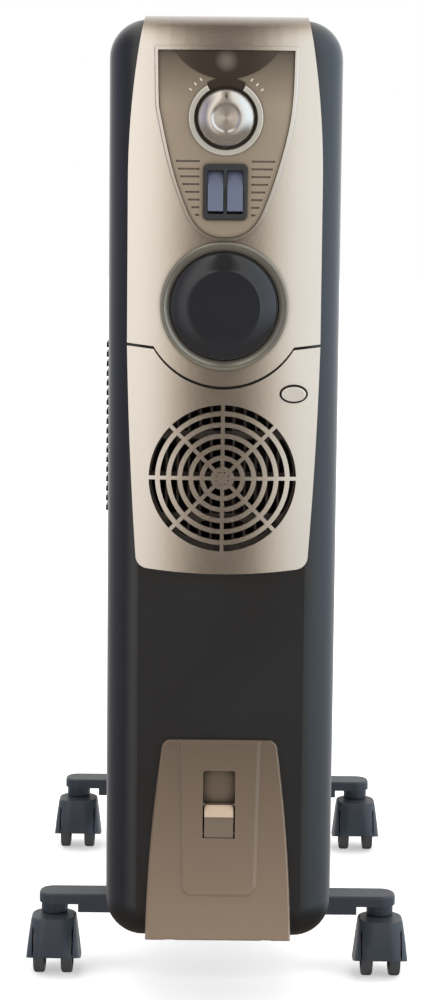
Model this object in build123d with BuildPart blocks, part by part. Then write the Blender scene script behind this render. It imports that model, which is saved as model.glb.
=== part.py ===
"""Oil filled radiator heater on casters, with a fan heater, a timer and a cord compartment in its front box.

Millimetres. +Z is up, the control box faces -Y and +X is to the right of someone who faces it.
The origin is on the floor, at the middle of the heater's length and width.
"""
import os
from math import cos, radians, sin

from build123d import *

# ---------------------------------------------------------------- driving sizes
HEIGHT = 640.0            # floor to the top of the control box
BOX_WIDTH = 144.6
BOX_DEPTH = 84.0          # face of the front cover to the back of the rear cover
BOX_BOTTOM = 55.0         # floor to the underside of the box
COVER_DEPTH = 50.0        # front cover's share of the box, up to the seam
WALL = 2.5
CORNER_R = 24.0           # corners of the box, seen from the front
EDGE_R = 20.0             # rolled edge round the face
PANEL_ROLL_R = 20.0       # face panels' roll over the top
RUN_GAP = 0.3             # between a moving piece and what it passes
PIN_GAP = 0.05            # radial, a fixed or turning pin in its hole

FIN_COUNT = 11
FIN_PITCH = 36.0
FIN_WIDTH = 140.0
FIN_BOTTOM = 54.0
FIN_TOP_DROP = 18.0       # top of the box down to the top of the fins
FIN_CORNER_R = 28.0
FLANGE = 1.6              # the two welded sheets at a fin's rim
SHEET = 1.0
JACKET = 10.0             # thickness of a fin where it holds oil
JACKET_MARGIN = 11.0      # rim outside the oil space
CHANNEL_GAP_W = 22.0      # pressed-flat windows between the three oil channels
CHANNEL_GAP_X = 22.0
HUB_R = 22.0
HUB_ROOT_R = 27.0
HUB_BORE_R = 20.0
LOWER_HUB_RISE = 58.0     # bottom of the fin to the lower hub's centre
UPPER_HUB_DROP = 47.0     # top of the fin to the upper hub's centre

PANEL_EDGE = 2.0          # how far the face panels stand off the cover at their sides
PANEL_CROWN = 4.0         # and how much further at the middle
PANEL_HALF_W = 60.0
PANEL_TOP_HALF_W = 50.0
PANEL_WRAP = 26.0         # how far the upper panel runs back over the top
PANEL_GROOVE = 1.8        # gap between the upper and the lower panel
PANEL_SPLIT_DROP = 200.5
PANEL_BOTTOM_DROP = 345.0
INSET_TOP_DROP = 21.0
INSET_BOTTOM_DROP = 135.3
INSET_TOP_HALF_W = 42.0
INSET_SINK = 1.0          # inset lies this far below the panel
KNOB_DROP = 62.0
KNOB_R = 17.5
KNOB_PROUD = 20.0         # front of the knob to the face of the cover
KNOB_RING_R = 22.9
KNOB_RING_W = 3.6
LENS_R = 38.0
LENS_BOTTOM_DROP = 38.5
LAMP_DROP = 27.5
LAMP_R = 4.6
SWITCH_DROP = 107.2
SWITCH_W = 27.0
SWITCH_H = 34.2
ROCKER_H = 24.6
ROCKER_W = 9.4
ROCKER_TILT = 11.0        # degrees each side of level
TIMER_DROP = 177.3
TIMER_RING_R = 39.6
TIMER_DIAL_R = 33.4
BUTTON_X = 43.8
BUTTON_DROP = 231.4
BUTTON_HALF_W = 7.6
BUTTON_HALF_H = 4.6
BUTTON_MARGIN = 1.3       # dark gap all round the button
BUTTON_TRAVEL = 2.5
GRILLE_DROP = 284.5
GRILLE_R = 46.0
GRILLE_PITCH = 6.95
GRILLE_SLOT = 4.0
GRILLE_RINGS = 7
SPOKE_W = 2.4

DOOR_TOP = 188.0
DOOR_BOTTOM = 57.0
DOOR_TOP_HALF_W = 36.0
DOOR_HALF_W = 46.5
DOOR_THICK = 2.5
HINGE_SET_BACK = 5.0      # door's hinge line behind the face and above the box's underside
LUG_X = 31.0
LUG_W = 6.0
TRAY_HALF_W = 31.0
TRAY_BOTTOM = 74.0
TRAY_TOP = 180.0
TRAY_DEPTH = 56.0
DOOR_RELIEF = 1.2
RELIEF_TOP_HALF_W = 26.0
RELIEF_HALF_W = 24.0
RELIEF_BOTTOM = 86.0
LATCH_HALF_W = 9.2
LATCH_TOP = 145.5
LATCH_BOTTOM = 125.0
FINGER_HOLE_TOP = 169.0
FINGER_HOLE_DEPTH = 3.5   # floor of the hole to the face of the cover

LOUVRE_COUNT = 18
LOUVRE_PITCH = 6.1
LOUVRE_TOP_DROP = 204.0
LOUVRE_PROUD = 1.4

TRACK = 223.0             # between the swivel lines of a pair of casters
BAR_TOP = FIN_BOTTOM
BAR_BOTTOM = 41.5
ARM_W = 24.0
SADDLE_HALF_W = 60.0      # the broad middle of a bar, which the fins rest on
SADDLE_W = 44.0
BAR_END = 10.3            # bar's end beyond the swivel line
BAR_END_BOTTOM = 47.0
BAR_WALL = 3.0
U_BOLT_R = 3.0
WHEEL_R = 18.0
WHEEL_W = 7.6
WHEEL_X = 9.4             # from the swivel line to the middle of a wheel
WHEEL_LEAD = 12.0         # axle ahead of the swivel line
AXLE_R = 2.5
STEM_R = 3.5
HOOD_TOP = 39.0
HOOD_BOTTOM = 9.5
HOOD_RIM_RISE = 6.0       # how much higher the hood's rim is at its front
HOOD_TOP_W = 30.0
HOOD_BOTTOM_W = 37.0

# ---------------------------------------------------------------- places worked out from them
rear_end = BOX_DEPTH + FIN_COUNT * FIN_PITCH
FACE_Y = -(rear_end - KNOB_PROUD) / 2
cover_top = HEIGHT - PANEL_EDGE
box_mid_z = (cover_top + BOX_BOTTOM) / 2
fin_top = HEIGHT - FIN_TOP_DROP
lower_hub_z = FIN_BOTTOM + LOWER_HUB_RISE
upper_hub_z = fin_top - UPPER_HUB_DROP
knob_z = HEIGHT - KNOB_DROP
switch_z = HEIGHT - SWITCH_DROP
timer_z = HEIGHT - TIMER_DROP
split_z = HEIGHT - PANEL_SPLIT_DROP
button_z = HEIGHT - BUTTON_DROP
grille_z = HEIGHT - GRILLE_DROP
lamp_z = HEIGHT - LAMP_DROP
hinge_y = FACE_Y + HINGE_SET_BACK
hinge_z = BOX_BOTTOM + HINGE_SET_BACK
front_bar_y = FACE_Y + BOX_DEPTH + FIN_PITCH
rear_bar_y = FACE_Y + BOX_DEPTH + (FIN_COUNT - 1) * FIN_PITCH
crown_r = (PANEL_HALF_W**2 + PANEL_CROWN**2) / (2 * PANEL_CROWN)
panel_front = PANEL_EDGE + PANEL_CROWN

os.makedirs("parts", exist_ok=True)


def at_depth(depth):
    """Sketch plane parallel to the face, that far behind it. Its normal points at the viewer."""
    return Plane.XZ.offset(-(FACE_Y + depth))


def save(shape, name):
    """Writes one sub-part under its node's name."""
    shape.label = name
    export_step(shape, f"parts/{name}.step")


def crown_depth(x, sink=0.0):
    """Depth of the panels' crowned front at x, which is negative because it stands off the cover."""
    return -(panel_front - sink) + crown_r - (crown_r**2 - x**2) ** 0.5


def box_form(inset, front, back):
    """The control box's rounded outline, shrunk by inset, from one depth to another."""
    with BuildPart() as form:
        with BuildSketch(at_depth(back)):
            with Locations((0, box_mid_z)):
                RectangleRounded(
                    BOX_WIDTH - 2 * inset, cover_top - BOX_BOTTOM - 2 * inset, CORNER_R - inset
                )
        extrude(amount=back - front)
        if front < EDGE_R:
            fillet(form.faces().sort_by(Axis.Y)[0].edges(), EDGE_R - inset)
    return form.part


def crown_form(sink):
    """Block whose front is the panels' crown, sunk by that much, rolled over at the top."""
    half = BOX_WIDTH / 2
    edge = FACE_Y + crown_depth(half, sink)
    back = FACE_Y + COVER_DEPTH
    with BuildPart() as form:
        with BuildSketch(Plane.XY.offset(BOX_BOTTOM - 5)):
            with BuildLine():
                ThreePointArc((-half, edge), (0, FACE_Y - panel_front + sink), (half, edge))
                Polyline((half, edge), (half, back), (-half, back), (-half, edge))
            make_face()
        extrude(amount=HEIGHT - sink - BOX_BOTTOM + 5)
        top = form.faces().sort_by(Axis.Z)[-1]
        fillet(top.edges().sort_by(Axis.Y)[0], PANEL_ROLL_R - sink)
    return form.part


def bolt(x, z, head_depth, tip_depth, shank_r, head_r, head_t):
    """Pan-head screw lying along Y with its head at the back."""
    with BuildPart() as screw:
        with BuildSketch(at_depth(head_depth)):
            with Locations((x, z)):
                Circle(head_r)
        extrude(amount=-head_t)
        fillet(screw.faces().sort_by(Axis.Y)[-1].edges(), head_t * 0.45)
        with BuildSketch(at_depth(head_depth)):
            with Locations((x, z)):
                Circle(shank_r)
        extrude(amount=head_depth - tip_depth)
        with BuildSketch(at_depth(head_depth + head_t)):
            with Locations((x, z)):
                Rectangle(head_r * 1.1, head_r * 0.25)
                Rectangle(head_r * 0.25, head_r * 1.1)
        extrude(amount=head_t * 0.4, mode=Mode.SUBTRACT)
    return screw.part


def turned(x, z, outline):
    """Solid of revolution round a front-to-back axis, from (depth, radius) corners."""
    with BuildPart() as piece:
        with BuildSketch(Plane.YZ.offset(x)):
            with BuildLine():
                Polyline(*[(FACE_Y + depth, z + radius) for depth, radius in outline], close=True)
            make_face()
        revolve(axis=Axis((x, 0, z), (0, 1, 0)))
    return piece.part


cover_form = box_form(0, 0, COVER_DEPTH)
panel_form = crown_form(0)
inset_form = crown_form(INSET_SINK)

# ---------------------------------------------------------------- radiator fins
jacket_w = FIN_WIDTH - 2 * JACKET_MARGIN
jacket_h = fin_top - FIN_BOTTOM - 2 * JACKET_MARGIN
jacket_r = FIN_CORNER_R - JACKET_MARGIN / 2
window_top = upper_hub_z - HUB_ROOT_R - 6
window_bottom = lower_hub_z + HUB_ROOT_R + 6
fin_mid_z = (fin_top + FIN_BOTTOM) / 2


def jacket_form(inset, thick, bevel):
    """Oil space of one fin: two chambers joined by three channels, with bevelled pressed edges."""
    with BuildPart() as form:
        with BuildSketch(Plane.XZ.offset(-thick / 2)):
            with Locations((0, fin_mid_z)):
                RectangleRounded(jacket_w - 2 * inset, jacket_h - 2 * inset, jacket_r - inset)
            with Locations(
                (-CHANNEL_GAP_X, (window_top + window_bottom) / 2),
                (CHANNEL_GAP_X, (window_top + window_bottom) / 2),
            ):
                SlotOverall(
                    window_top - window_bottom + 2 * inset,
                    CHANNEL_GAP_W + 2 * inset,
                    rotation=90,
                    mode=Mode.SUBTRACT,
                )
        extrude(amount=thick)
        chamfer(form.faces().filter_by(Axis.Y).edges(), bevel)
    return form.part


cavity = jacket_form(SHEET, JACKET - 2 * SHEET, (JACKET - FLANGE) / 2 - SHEET)
with BuildPart() as fin:
    with BuildSketch(Plane.XZ.offset(-FLANGE / 2)):
        with Locations((0, fin_mid_z)):
            RectangleRounded(FIN_WIDTH, fin_top - FIN_BOTTOM, FIN_CORNER_R)
    extrude(amount=FLANGE)
    add(jacket_form(0, JACKET, (JACKET - FLANGE) / 2 - 0.4))
    for hub_z in (lower_hub_z, upper_hub_z):
        with BuildSketch(Plane.YZ):
            with BuildLine():
                Polyline(
                    (-FIN_PITCH / 2, hub_z),
                    (-FIN_PITCH / 2, hub_z + HUB_R),
                    (-JACKET / 2 - 5, hub_z + HUB_R),
                    (-JACKET / 2, hub_z + HUB_ROOT_R),
                    (JACKET / 2, hub_z + HUB_ROOT_R),
                    (JACKET / 2 + 5, hub_z + HUB_R),
                    (FIN_PITCH / 2, hub_z + HUB_R),
                    (FIN_PITCH / 2, hub_z),
                    close=True,
                )
            make_face()
        revolve(axis=Axis((0, 0, hub_z), (0, 1, 0)))
    add(cavity, mode=Mode.SUBTRACT)
    with BuildSketch(Plane.XZ.offset(-FIN_PITCH / 2)):
        with Locations((0, lower_hub_z), (0, upper_hub_z)):
            Circle(HUB_BORE_R)
    extrude(amount=FIN_PITCH, mode=Mode.SUBTRACT)

first_fin_y = FACE_Y + BOX_DEPTH + FIN_PITCH / 2
fin_stack = Compound(
    children=[Pos(0, first_fin_y + k * FIN_PITCH, 0) * fin.part for k in range(FIN_COUNT)]
)
save(fin_stack, "radiator_fins")

# Discs welded into the open hub bores at the two ends of the vessel.
# The upper front disc carries the stud that holds the control box.
cap_t = 3.0
STUD_R = 3.0
cap_r = HUB_BORE_R - PIN_GAP
rear_caps = [
    turned(0, z, [(rear_end - cap_t, 0), (rear_end - cap_t, cap_r), (rear_end, cap_r), (rear_end, 0)])
    for z in (lower_hub_z, upper_hub_z)
]
front_cap = turned(
    0,
    upper_hub_z,
    [
        (BOX_DEPTH - WALL - 12, 0),
        (BOX_DEPTH - WALL - 12, STUD_R),
        (BOX_DEPTH, STUD_R),
        (BOX_DEPTH, cap_r),
        (BOX_DEPTH + cap_t, cap_r),
        (BOX_DEPTH + cap_t, 0),
    ],
)
save(Compound(children=[*rear_caps, front_cap]), "vessel_end_caps")

# Immersion heater: hex head in the box, shank in the lower hub, hairpin tube in the oil channel.
HAIRPIN_R = 4.0
HAIRPIN_X = 7.0
flange_t = 6.0
hairpin_end = FACE_Y + rear_end - 40
with BuildPart() as heating_element:
    with BuildSketch(at_depth(BOX_DEPTH - WALL)):
        with Locations((0, lower_hub_z)):
            RegularPolygon(HUB_R + 3, 6)
    extrude(amount=flange_t)
    with BuildSketch(at_depth(BOX_DEPTH - WALL)):
        with Locations((0, lower_hub_z)):
            Circle(HUB_BORE_R - PIN_GAP)
    extrude(amount=-(WALL + 8))
    with BuildLine() as hairpin:
        Line((-HAIRPIN_X, FACE_Y + BOX_DEPTH, lower_hub_z), (-HAIRPIN_X, hairpin_end, lower_hub_z))
        ThreePointArc(
            (-HAIRPIN_X, hairpin_end, lower_hub_z),
            (0, hairpin_end + HAIRPIN_X, lower_hub_z),
            (HAIRPIN_X, hairpin_end, lower_hub_z),
        )
        Line((HAIRPIN_X, hairpin_end, lower_hub_z), (HAIRPIN_X, FACE_Y + BOX_DEPTH, lower_hub_z))
    with BuildSketch(Plane((-HAIRPIN_X, FACE_Y + BOX_DEPTH, lower_hub_z), z_dir=(0, 1, 0))):
        Circle(HAIRPIN_R)
    sweep(path=hairpin.line)
    with BuildSketch(at_depth(BOX_DEPTH - WALL - flange_t)):
        with Locations((-HAIRPIN_X, lower_hub_z), (HAIRPIN_X, lower_hub_z)):
            Circle(2.2)
    extrude(amount=7)
save(heating_element.part, "heating_element")

# Disc cut-out that snaps on the front of the first fin and opens if the vessel overheats.
cutout_r = 8.0
cutout_x = 0.0
cutout_z = 205.0
jacket_front = BOX_DEPTH + FIN_PITCH / 2 - JACKET / 2
with BuildPart() as thermal_cutout:
    with BuildSketch(at_depth(jacket_front)):
        with Locations((cutout_x, cutout_z)):
            Circle(cutout_r)
    extrude(amount=6)
    with BuildSketch(at_depth(jacket_front - 6)):
        with Locations((cutout_x, cutout_z)):
            Circle(cutout_r - 1.6)
    extrude(amount=3.5)
    with BuildSketch(at_depth(jacket_front - 9.5)):
        with Locations((cutout_x - 4, cutout_z), (cutout_x + 4, cutout_z)):
            Rectangle(0.8, 6)
    extrude(amount=2.5)
save(thermal_cutout.part, "thermal_cutout")

# Washer and nut on the stud, inside the box.
with BuildPart() as mount_nut:
    with BuildSketch(at_depth(BOX_DEPTH - WALL)):
        with Locations((0, upper_hub_z)):
            Circle(9)
            Circle(STUD_R + PIN_GAP, mode=Mode.SUBTRACT)
    extrude(amount=1.2)
    with BuildSketch(at_depth(BOX_DEPTH - WALL - 1.2)):
        with Locations((0, upper_hub_z)):
            RegularPolygon(5.8, 6)
            Circle(STUD_R + PIN_GAP, mode=Mode.SUBTRACT)
    extrude(amount=5)
save(mount_nut.part, "mount_nut")

# ---------------------------------------------------------------- control box covers
SCREW_X = 58.0
SCREW_R = 1.6
BOSS_R = 4.5
screw_places = [(x, z) for x in (-SCREW_X, SCREW_X) for z in (BOX_BOTTOM + 45, HEIGHT - 45)]
GLAND_R = 9.0
GLAND_BORE_R = 4.0
gland_y = FACE_Y + COVER_DEPTH
lens_bottom_z = HEIGHT - LENS_BOTTOM_DROP
lens_centre_z = lens_bottom_z + LENS_R
inset_top_z = HEIGHT - INSET_TOP_DROP
button_stem_r = 2.5
spindle_r = 3.0
fan_opening_r = GRILLE_R + 1.5
rocker_divider = 2.0
rocker_window_w = 2 * (ROCKER_W + 2 * RUN_GAP) + rocker_divider
rocker_window_h = ROCKER_H + 2.0
switch_neck_w = rocker_window_w + 3.0
switch_neck_h = rocker_window_h + 3.0
seat_half_w = DOOR_HALF_W - 0.5
seat_top = TRAY_BOTTOM
pin_r = 1.5
lug_clearance = 4.0

with BuildPart() as front_cover:
    add(cover_form)
    add(box_form(WALL, WALL, COVER_DEPTH), mode=Mode.SUBTRACT)
    # Screw bosses.
    with BuildSketch(at_depth(COVER_DEPTH)):
        with Locations(*screw_places):
            Circle(BOSS_R)
    extrude(amount=COVER_DEPTH - WALL + 0.5)
    add(cover_form, mode=Mode.INTERSECT)
    with BuildSketch(at_depth(COVER_DEPTH)):
        with Locations(*screw_places):
            Circle(SCREW_R + PIN_GAP)
    extrude(amount=20, mode=Mode.SUBTRACT)
    # Flat seat behind the foot of the door, which carries its hinge.
    with BuildSketch(at_depth(EDGE_R)):
        with Locations((0, (BOX_BOTTOM + seat_top) / 2)):
            Rectangle(2 * seat_half_w, seat_top - BOX_BOTTOM)
    extrude(amount=EDGE_R)
    seat_edge = (
        front_cover.edges().filter_by(Axis.X).group_by(Axis.Z)[0].sort_by(Axis.Y)[0]
    )
    fillet(seat_edge, HINGE_SET_BACK - 0.4)
    # Openings in the face.
    with BuildSketch(at_depth(WALL + EDGE_R)):
        with Locations((0, grille_z)):
            Circle(fan_opening_r)
        with Locations((0, timer_z)):
            Circle(6.5)
        with Locations((0, knob_z)):
            Circle(5.2)
        with Locations((0, lamp_z)):
            Circle(LAMP_R + 0.2)
        with Locations((0, switch_z)):
            Rectangle(switch_neck_w + 0.2, switch_neck_h + 0.2)
        with Locations((BUTTON_X, button_z)):
            Circle(button_stem_r + RUN_GAP)
        with Locations((0, (TRAY_TOP + TRAY_BOTTOM) / 2)):
            RectangleRounded(2 * TRAY_HALF_W, TRAY_TOP - TRAY_BOTTOM, 6)
    extrude(amount=WALL + EDGE_R + 5, mode=Mode.SUBTRACT)
    # Slots for the door's lugs, and the bores for their pins.
    for side in (-1, 1):
        with BuildSketch(Plane.YZ.offset(side * LUG_X)):
            with BuildLine():
                Polyline(
                    (FACE_Y - 1, BOX_BOTTOM - 1),
                    (hinge_y + lug_clearance, BOX_BOTTOM - 1),
                    (hinge_y + lug_clearance, hinge_z + lug_clearance),
                    (FACE_Y - 1, hinge_z + lug_clearance),
                    close=True,
                )
            make_face()
        extrude(amount=LUG_W / 2 + RUN_GAP, both=True, mode=Mode.SUBTRACT)
        with BuildSketch(Plane.YZ.offset(side * LUG_X)):
            with Locations((hinge_y, hinge_z)):
                Circle(pin_r + PIN_GAP)
        extrude(amount=LUG_W / 2 + 5, both=True, mode=Mode.SUBTRACT)
    # Half of the seat that traps the cord gland between the two covers.
    with BuildSketch(Plane.XY.offset(BOX_BOTTOM - 1)):
        with Locations((0, gland_y)):
            Rectangle(2 * (GLAND_R - 2 + PIN_GAP), 2 * (GLAND_R - 2 + PIN_GAP))
    extrude(amount=WALL + 2, mode=Mode.SUBTRACT)
    # Air louvres in the left side wall: ribs that stand proud, and slots between them.
    louvre_top = HEIGHT - LOUVRE_TOP_DROP
    louvre_back = COVER_DEPTH - 6
    louvre_front = EDGE_R + 3
    louvre_mid_y = FACE_Y + (louvre_back + louvre_front) / 2
    louvre_zs = [louvre_top - k * LOUVRE_PITCH for k in range(LOUVRE_COUNT)]
    with BuildSketch(Plane.YZ.offset(-BOX_WIDTH / 2 + WALL)):
        with Locations(*[(louvre_mid_y, z) for z in louvre_zs]):
            SlotOverall(louvre_back - louvre_front, LOUVRE_PITCH * 0.55)
    extrude(amount=-(WALL + LOUVRE_PROUD))
    with BuildSketch(Plane.YZ.offset(-BOX_WIDTH / 2 - 1)):
        with Locations(*[(louvre_mid_y, z - LOUVRE_PITCH / 2) for z in louvre_zs[:-1]]):
            SlotOverall(louvre_back - louvre_front - 3, LOUVRE_PITCH * 0.36)
    extrude(amount=WALL + 2, mode=Mode.SUBTRACT)
save(front_cover.part, "front_cover")

# Rear cover, with a grip pocket let into its top.
GRIP_W = 84.0
GRIP_DEPTH = 26.0
GRIP_FRONT = COVER_DEPTH + 4.0
GRIP_BACK = BOX_DEPTH - 5.0
with BuildPart() as rear_cover:
    add(box_form(0, COVER_DEPTH, BOX_DEPTH))
    fillet(rear_cover.faces().sort_by(Axis.Y)[-1].edges(), 4)
    add(box_form(WALL, COVER_DEPTH, BOX_DEPTH - WALL), mode=Mode.SUBTRACT)
    with BuildSketch(Plane.XY.offset(cover_top)):
        with Locations((0, FACE_Y + (GRIP_FRONT + GRIP_BACK) / 2)):
            RectangleRounded(GRIP_W + 2 * WALL, GRIP_BACK - GRIP_FRONT + 2 * WALL, 7)
    extrude(amount=-(GRIP_DEPTH + WALL))
    with BuildSketch(Plane.XY.offset(cover_top)):
        with Locations((0, FACE_Y + (GRIP_FRONT + GRIP_BACK) / 2)):
            RectangleRounded(GRIP_W, GRIP_BACK - GRIP_FRONT, 6)
    extrude(amount=-GRIP_DEPTH, mode=Mode.SUBTRACT)
    with BuildSketch(at_depth(BOX_DEPTH - WALL + 0.5)):
        with Locations(*screw_places):
            Circle(BOSS_R)
    extrude(amount=BOX_DEPTH - WALL + 0.5 - COVER_DEPTH)
    with BuildSketch(at_depth(BOX_DEPTH)):
        with Locations(*screw_places):
            Circle(SCREW_R + PIN_GAP)
    extrude(amount=BOX_DEPTH - COVER_DEPTH, mode=Mode.SUBTRACT)
    with BuildSketch(at_depth(BOX_DEPTH)):
        with Locations(*screw_places):
            Circle(BOSS_R - 1)
        with Locations((0, lower_hub_z)):
            Circle(HUB_BORE_R + PIN_GAP)
        with Locations((0, upper_hub_z)):
            Circle(STUD_R + PIN_GAP)
    extrude(amount=WALL, mode=Mode.SUBTRACT)
    with BuildSketch(Plane.XY.offset(BOX_BOTTOM - 1)):
        with Locations((0, gland_y)):
            Rectangle(2 * (GLAND_R - 2 + PIN_GAP), 2 * (GLAND_R - 2 + PIN_GAP))
    extrude(amount=WALL + 2, mode=Mode.SUBTRACT)
save(rear_cover.part, "rear_cover")

screw_head_r = BOSS_R - 1.4
screw_head_t = 2.2
cover_screws = Compound(
    children=[
        bolt(x, z, BOX_DEPTH - WALL, COVER_DEPTH - 16, SCREW_R, screw_head_r, screw_head_t)
        for x, z in screw_places
    ]
)
save(cover_screws, "cover_screws")

# Moulded bush that the mains cord passes through, trapped in the seam of the covers.
gland_bottom = BOX_BOTTOM - 3
with BuildPart() as cord_gland:
    with BuildSketch(Plane.XY.offset(gland_bottom)):
        with Locations((0, gland_y)):
            Circle(GLAND_R)
    extrude(amount=3)
    with BuildSketch(Plane.XY.offset(BOX_BOTTOM)):
        with Locations((0, gland_y)):
            Rectangle(2 * (GLAND_R - 2), 2 * (GLAND_R - 2))
    extrude(amount=WALL)
    with BuildSketch(Plane.XY.offset(BOX_BOTTOM + WALL)):
        with Locations((0, gland_y)):
            Circle(GLAND_R)
    extrude(amount=3)
    fillet(cord_gland.faces().sort_by(Axis.Z)[0].edges(), 1)
    with BuildSketch(Plane.XY.offset(gland_bottom)):
        with Locations((0, gland_y)):
            Circle(GLAND_BORE_R)
    extrude(amount=WALL + 6, mode=Mode.SUBTRACT)
save(cord_gland.part, "cord_gland")

# ---------------------------------------------------------------- face panels
knee_x = 43.5
timer_notch_r = 49.8
side_curve_drop = 100.0


def split_line(gap, half_w):
    """Outline across the split between the panels, from left to right, lowered by gap."""
    knee_z = split_z - 2 - gap
    with BuildLine() as line:
        a = Line((-half_w, split_z - gap), (-knee_x, knee_z))
        b = ThreePointArc((-knee_x, knee_z), (0, timer_z - timer_notch_r - gap), (knee_x, knee_z))
        c = Line((knee_x, knee_z), (half_w, split_z - gap))
    return line.line


def inset_outline(grow):
    """Shield shape of the bronze control plate, grown by that much."""
    top = HEIGHT - INSET_TOP_DROP + grow
    bottom = HEIGHT - INSET_BOTTOM_DROP - grow
    half = INSET_TOP_HALF_W + grow
    with BuildSketch() as shield:
        with BuildLine():
            Line((-half, top), (half, top))
            Spline(
                (half, top),
                (half - 2.2, knob_z),
                (half - 8.0, knob_z - 26),
                (half - 17.0, knob_z - 53),
                (0, bottom),
                tangents=[(-0.02, -1), (-1, 0)],
            )
            Spline(
                (0, bottom),
                (-half + 17.0, knob_z - 53),
                (-half + 8.0, knob_z - 26),
                (-half + 2.2, knob_z),
                (-half, top),
                tangents=[(-1, 0), (-0.02, 1)],
            )
        make_face()
    return shield.sketch


bead_w = 2.2
bead_h = 0.6
with BuildPart() as bead:
    with BuildSketch(at_depth(0)):
        add(inset_outline(bead_w))
    extrude(amount=20)
    add(crown_form(-bead_h), mode=Mode.INTERSECT)
    fillet(bead.faces().sort_by(Axis.Y)[0].edges().filter_by(Axis.X, reverse=True), bead_h * 0.9)

with BuildPart() as upper_panel:
    with BuildSketch(at_depth(PANEL_WRAP)):
        with BuildLine():
            Line((-PANEL_TOP_HALF_W, HEIGHT + 1), (PANEL_TOP_HALF_W, HEIGHT + 1))
            ThreePointArc(
                (PANEL_TOP_HALF_W, HEIGHT + 1),
                (PANEL_HALF_W - 2.5, HEIGHT - side_curve_drop / 2),
                (PANEL_HALF_W, HEIGHT - side_curve_drop),
            )
            Line((PANEL_HALF_W, HEIGHT - side_curve_drop), (PANEL_HALF_W, split_z))
            add(split_line(0, PANEL_HALF_W))
            Line((-PANEL_HALF_W, split_z), (-PANEL_HALF_W, HEIGHT - side_curve_drop))
            ThreePointArc(
                (-PANEL_HALF_W, HEIGHT - side_curve_drop),
                (-PANEL_HALF_W + 2.5, HEIGHT - side_curve_drop / 2),
                (-PANEL_TOP_HALF_W, HEIGHT + 1),
            )
        make_face()
    extrude(amount=PANEL_WRAP + panel_front + 5)
    add(panel_form, mode=Mode.INTERSECT)
    add(bead.part)
    add(cover_form, mode=Mode.SUBTRACT)
    with BuildSketch(at_depth(0)):
        add(inset_outline(0))
        with Locations((0, timer_z)):
            Circle(TIMER_RING_R + 0.1)
    extrude(amount=20, mode=Mode.SUBTRACT)
save(upper_panel.part, "upper_panel")

grille_bars = 4
with BuildPart() as lower_panel:
    with BuildSketch(at_depth(0)):
        with BuildLine():
            add(split_line(PANEL_GROOVE, PANEL_HALF_W))
            ThreePointArc(
                (PANEL_HALF_W, split_z - PANEL_GROOVE),
                (PANEL_HALF_W - 2.0, grille_z + 20),
                (PANEL_HALF_W - 6.5, HEIGHT - PANEL_BOTTOM_DROP + 4),
            )
            ThreePointArc(
                (PANEL_HALF_W - 6.5, HEIGHT - PANEL_BOTTOM_DROP + 4),
                (0, HEIGHT - PANEL_BOTTOM_DROP),
                (-PANEL_HALF_W + 6.5, HEIGHT - PANEL_BOTTOM_DROP + 4),
            )
            ThreePointArc(
                (-PANEL_HALF_W + 6.5, HEIGHT - PANEL_BOTTOM_DROP + 4),
                (-PANEL_HALF_W + 2.0, grille_z + 20),
                (-PANEL_HALF_W, split_z - PANEL_GROOVE),
            )
        outline = make_face()
        fillet(outline.vertices().group_by(Axis.Y)[0], 8)
    extrude(amount=20)
    add(panel_form, mode=Mode.INTERSECT)
    with BuildSketch(at_depth(0)):
        for ring in range(GRILLE_RINGS):
            ring_r = GRILLE_R - ring * GRILLE_PITCH
            with Locations((0, grille_z)):
                Circle(ring_r)
                Circle(ring_r - GRILLE_SLOT, mode=Mode.SUBTRACT)
        with Locations((0, grille_z)):
            with PolarLocations(0, grille_bars, angular_range=180, endpoint=False):
                Rectangle(2 * GRILLE_R + 4, SPOKE_W, mode=Mode.SUBTRACT)
    extrude(amount=20, mode=Mode.SUBTRACT)
    with BuildSketch(at_depth(0)):
        with Locations((BUTTON_X, button_z)):
            Ellipse(BUTTON_HALF_W + BUTTON_MARGIN, BUTTON_HALF_H + BUTTON_MARGIN)
    extrude(amount=20, mode=Mode.SUBTRACT)
save(lower_panel.part, "lower_panel")

# ---------------------------------------------------------------- control plate
switch_flange_back = -4.0
ring_seat = -4.0
knob_well_r = KNOB_R + 1.6
knob_well_depth = -2.0
groove_depth = 0.9
groove_pitch = 4.7


def lens_outline(grow):
    """Bowl shape under a straight top, with a neck that wraps the top of the knob's ring."""
    with BuildSketch() as bowl:
        with Locations((0, lens_centre_z)):
            Circle(LENS_R + grow)
        with Locations((0, inset_top_z + grow + LENS_R)):
            Rectangle(2 * LENS_R + 4, 2 * LENS_R, mode=Mode.SUBTRACT)
        with BuildSketch() as neck:
            with Locations((0, knob_z)):
                Circle(KNOB_RING_R + 1.6 + grow)
            with BuildLine():
                Polyline((0, knob_z - 3), (-18, knob_z + 34), (18, knob_z + 34), close=True)
            make_face(mode=Mode.INTERSECT)
        with Locations((0, knob_z)):
            Circle(KNOB_RING_R - KNOB_RING_W - 0.2 - grow, mode=Mode.SUBTRACT)
    return bowl.sketch


with BuildPart() as plate_grooves:
    with BuildSketch(at_depth(0)):
        for side in (-1, 1):
            with Locations((side * 30, switch_z)):
                with GridLocations(1, groove_pitch, 1, 9):
                    Rectangle(28, 1.3)
        add(inset_outline(-3.5), mode=Mode.INTERSECT)
    extrude(amount=20)
    add(inset_form, mode=Mode.INTERSECT)
    add(crown_form(INSET_SINK + groove_depth), mode=Mode.SUBTRACT)

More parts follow.
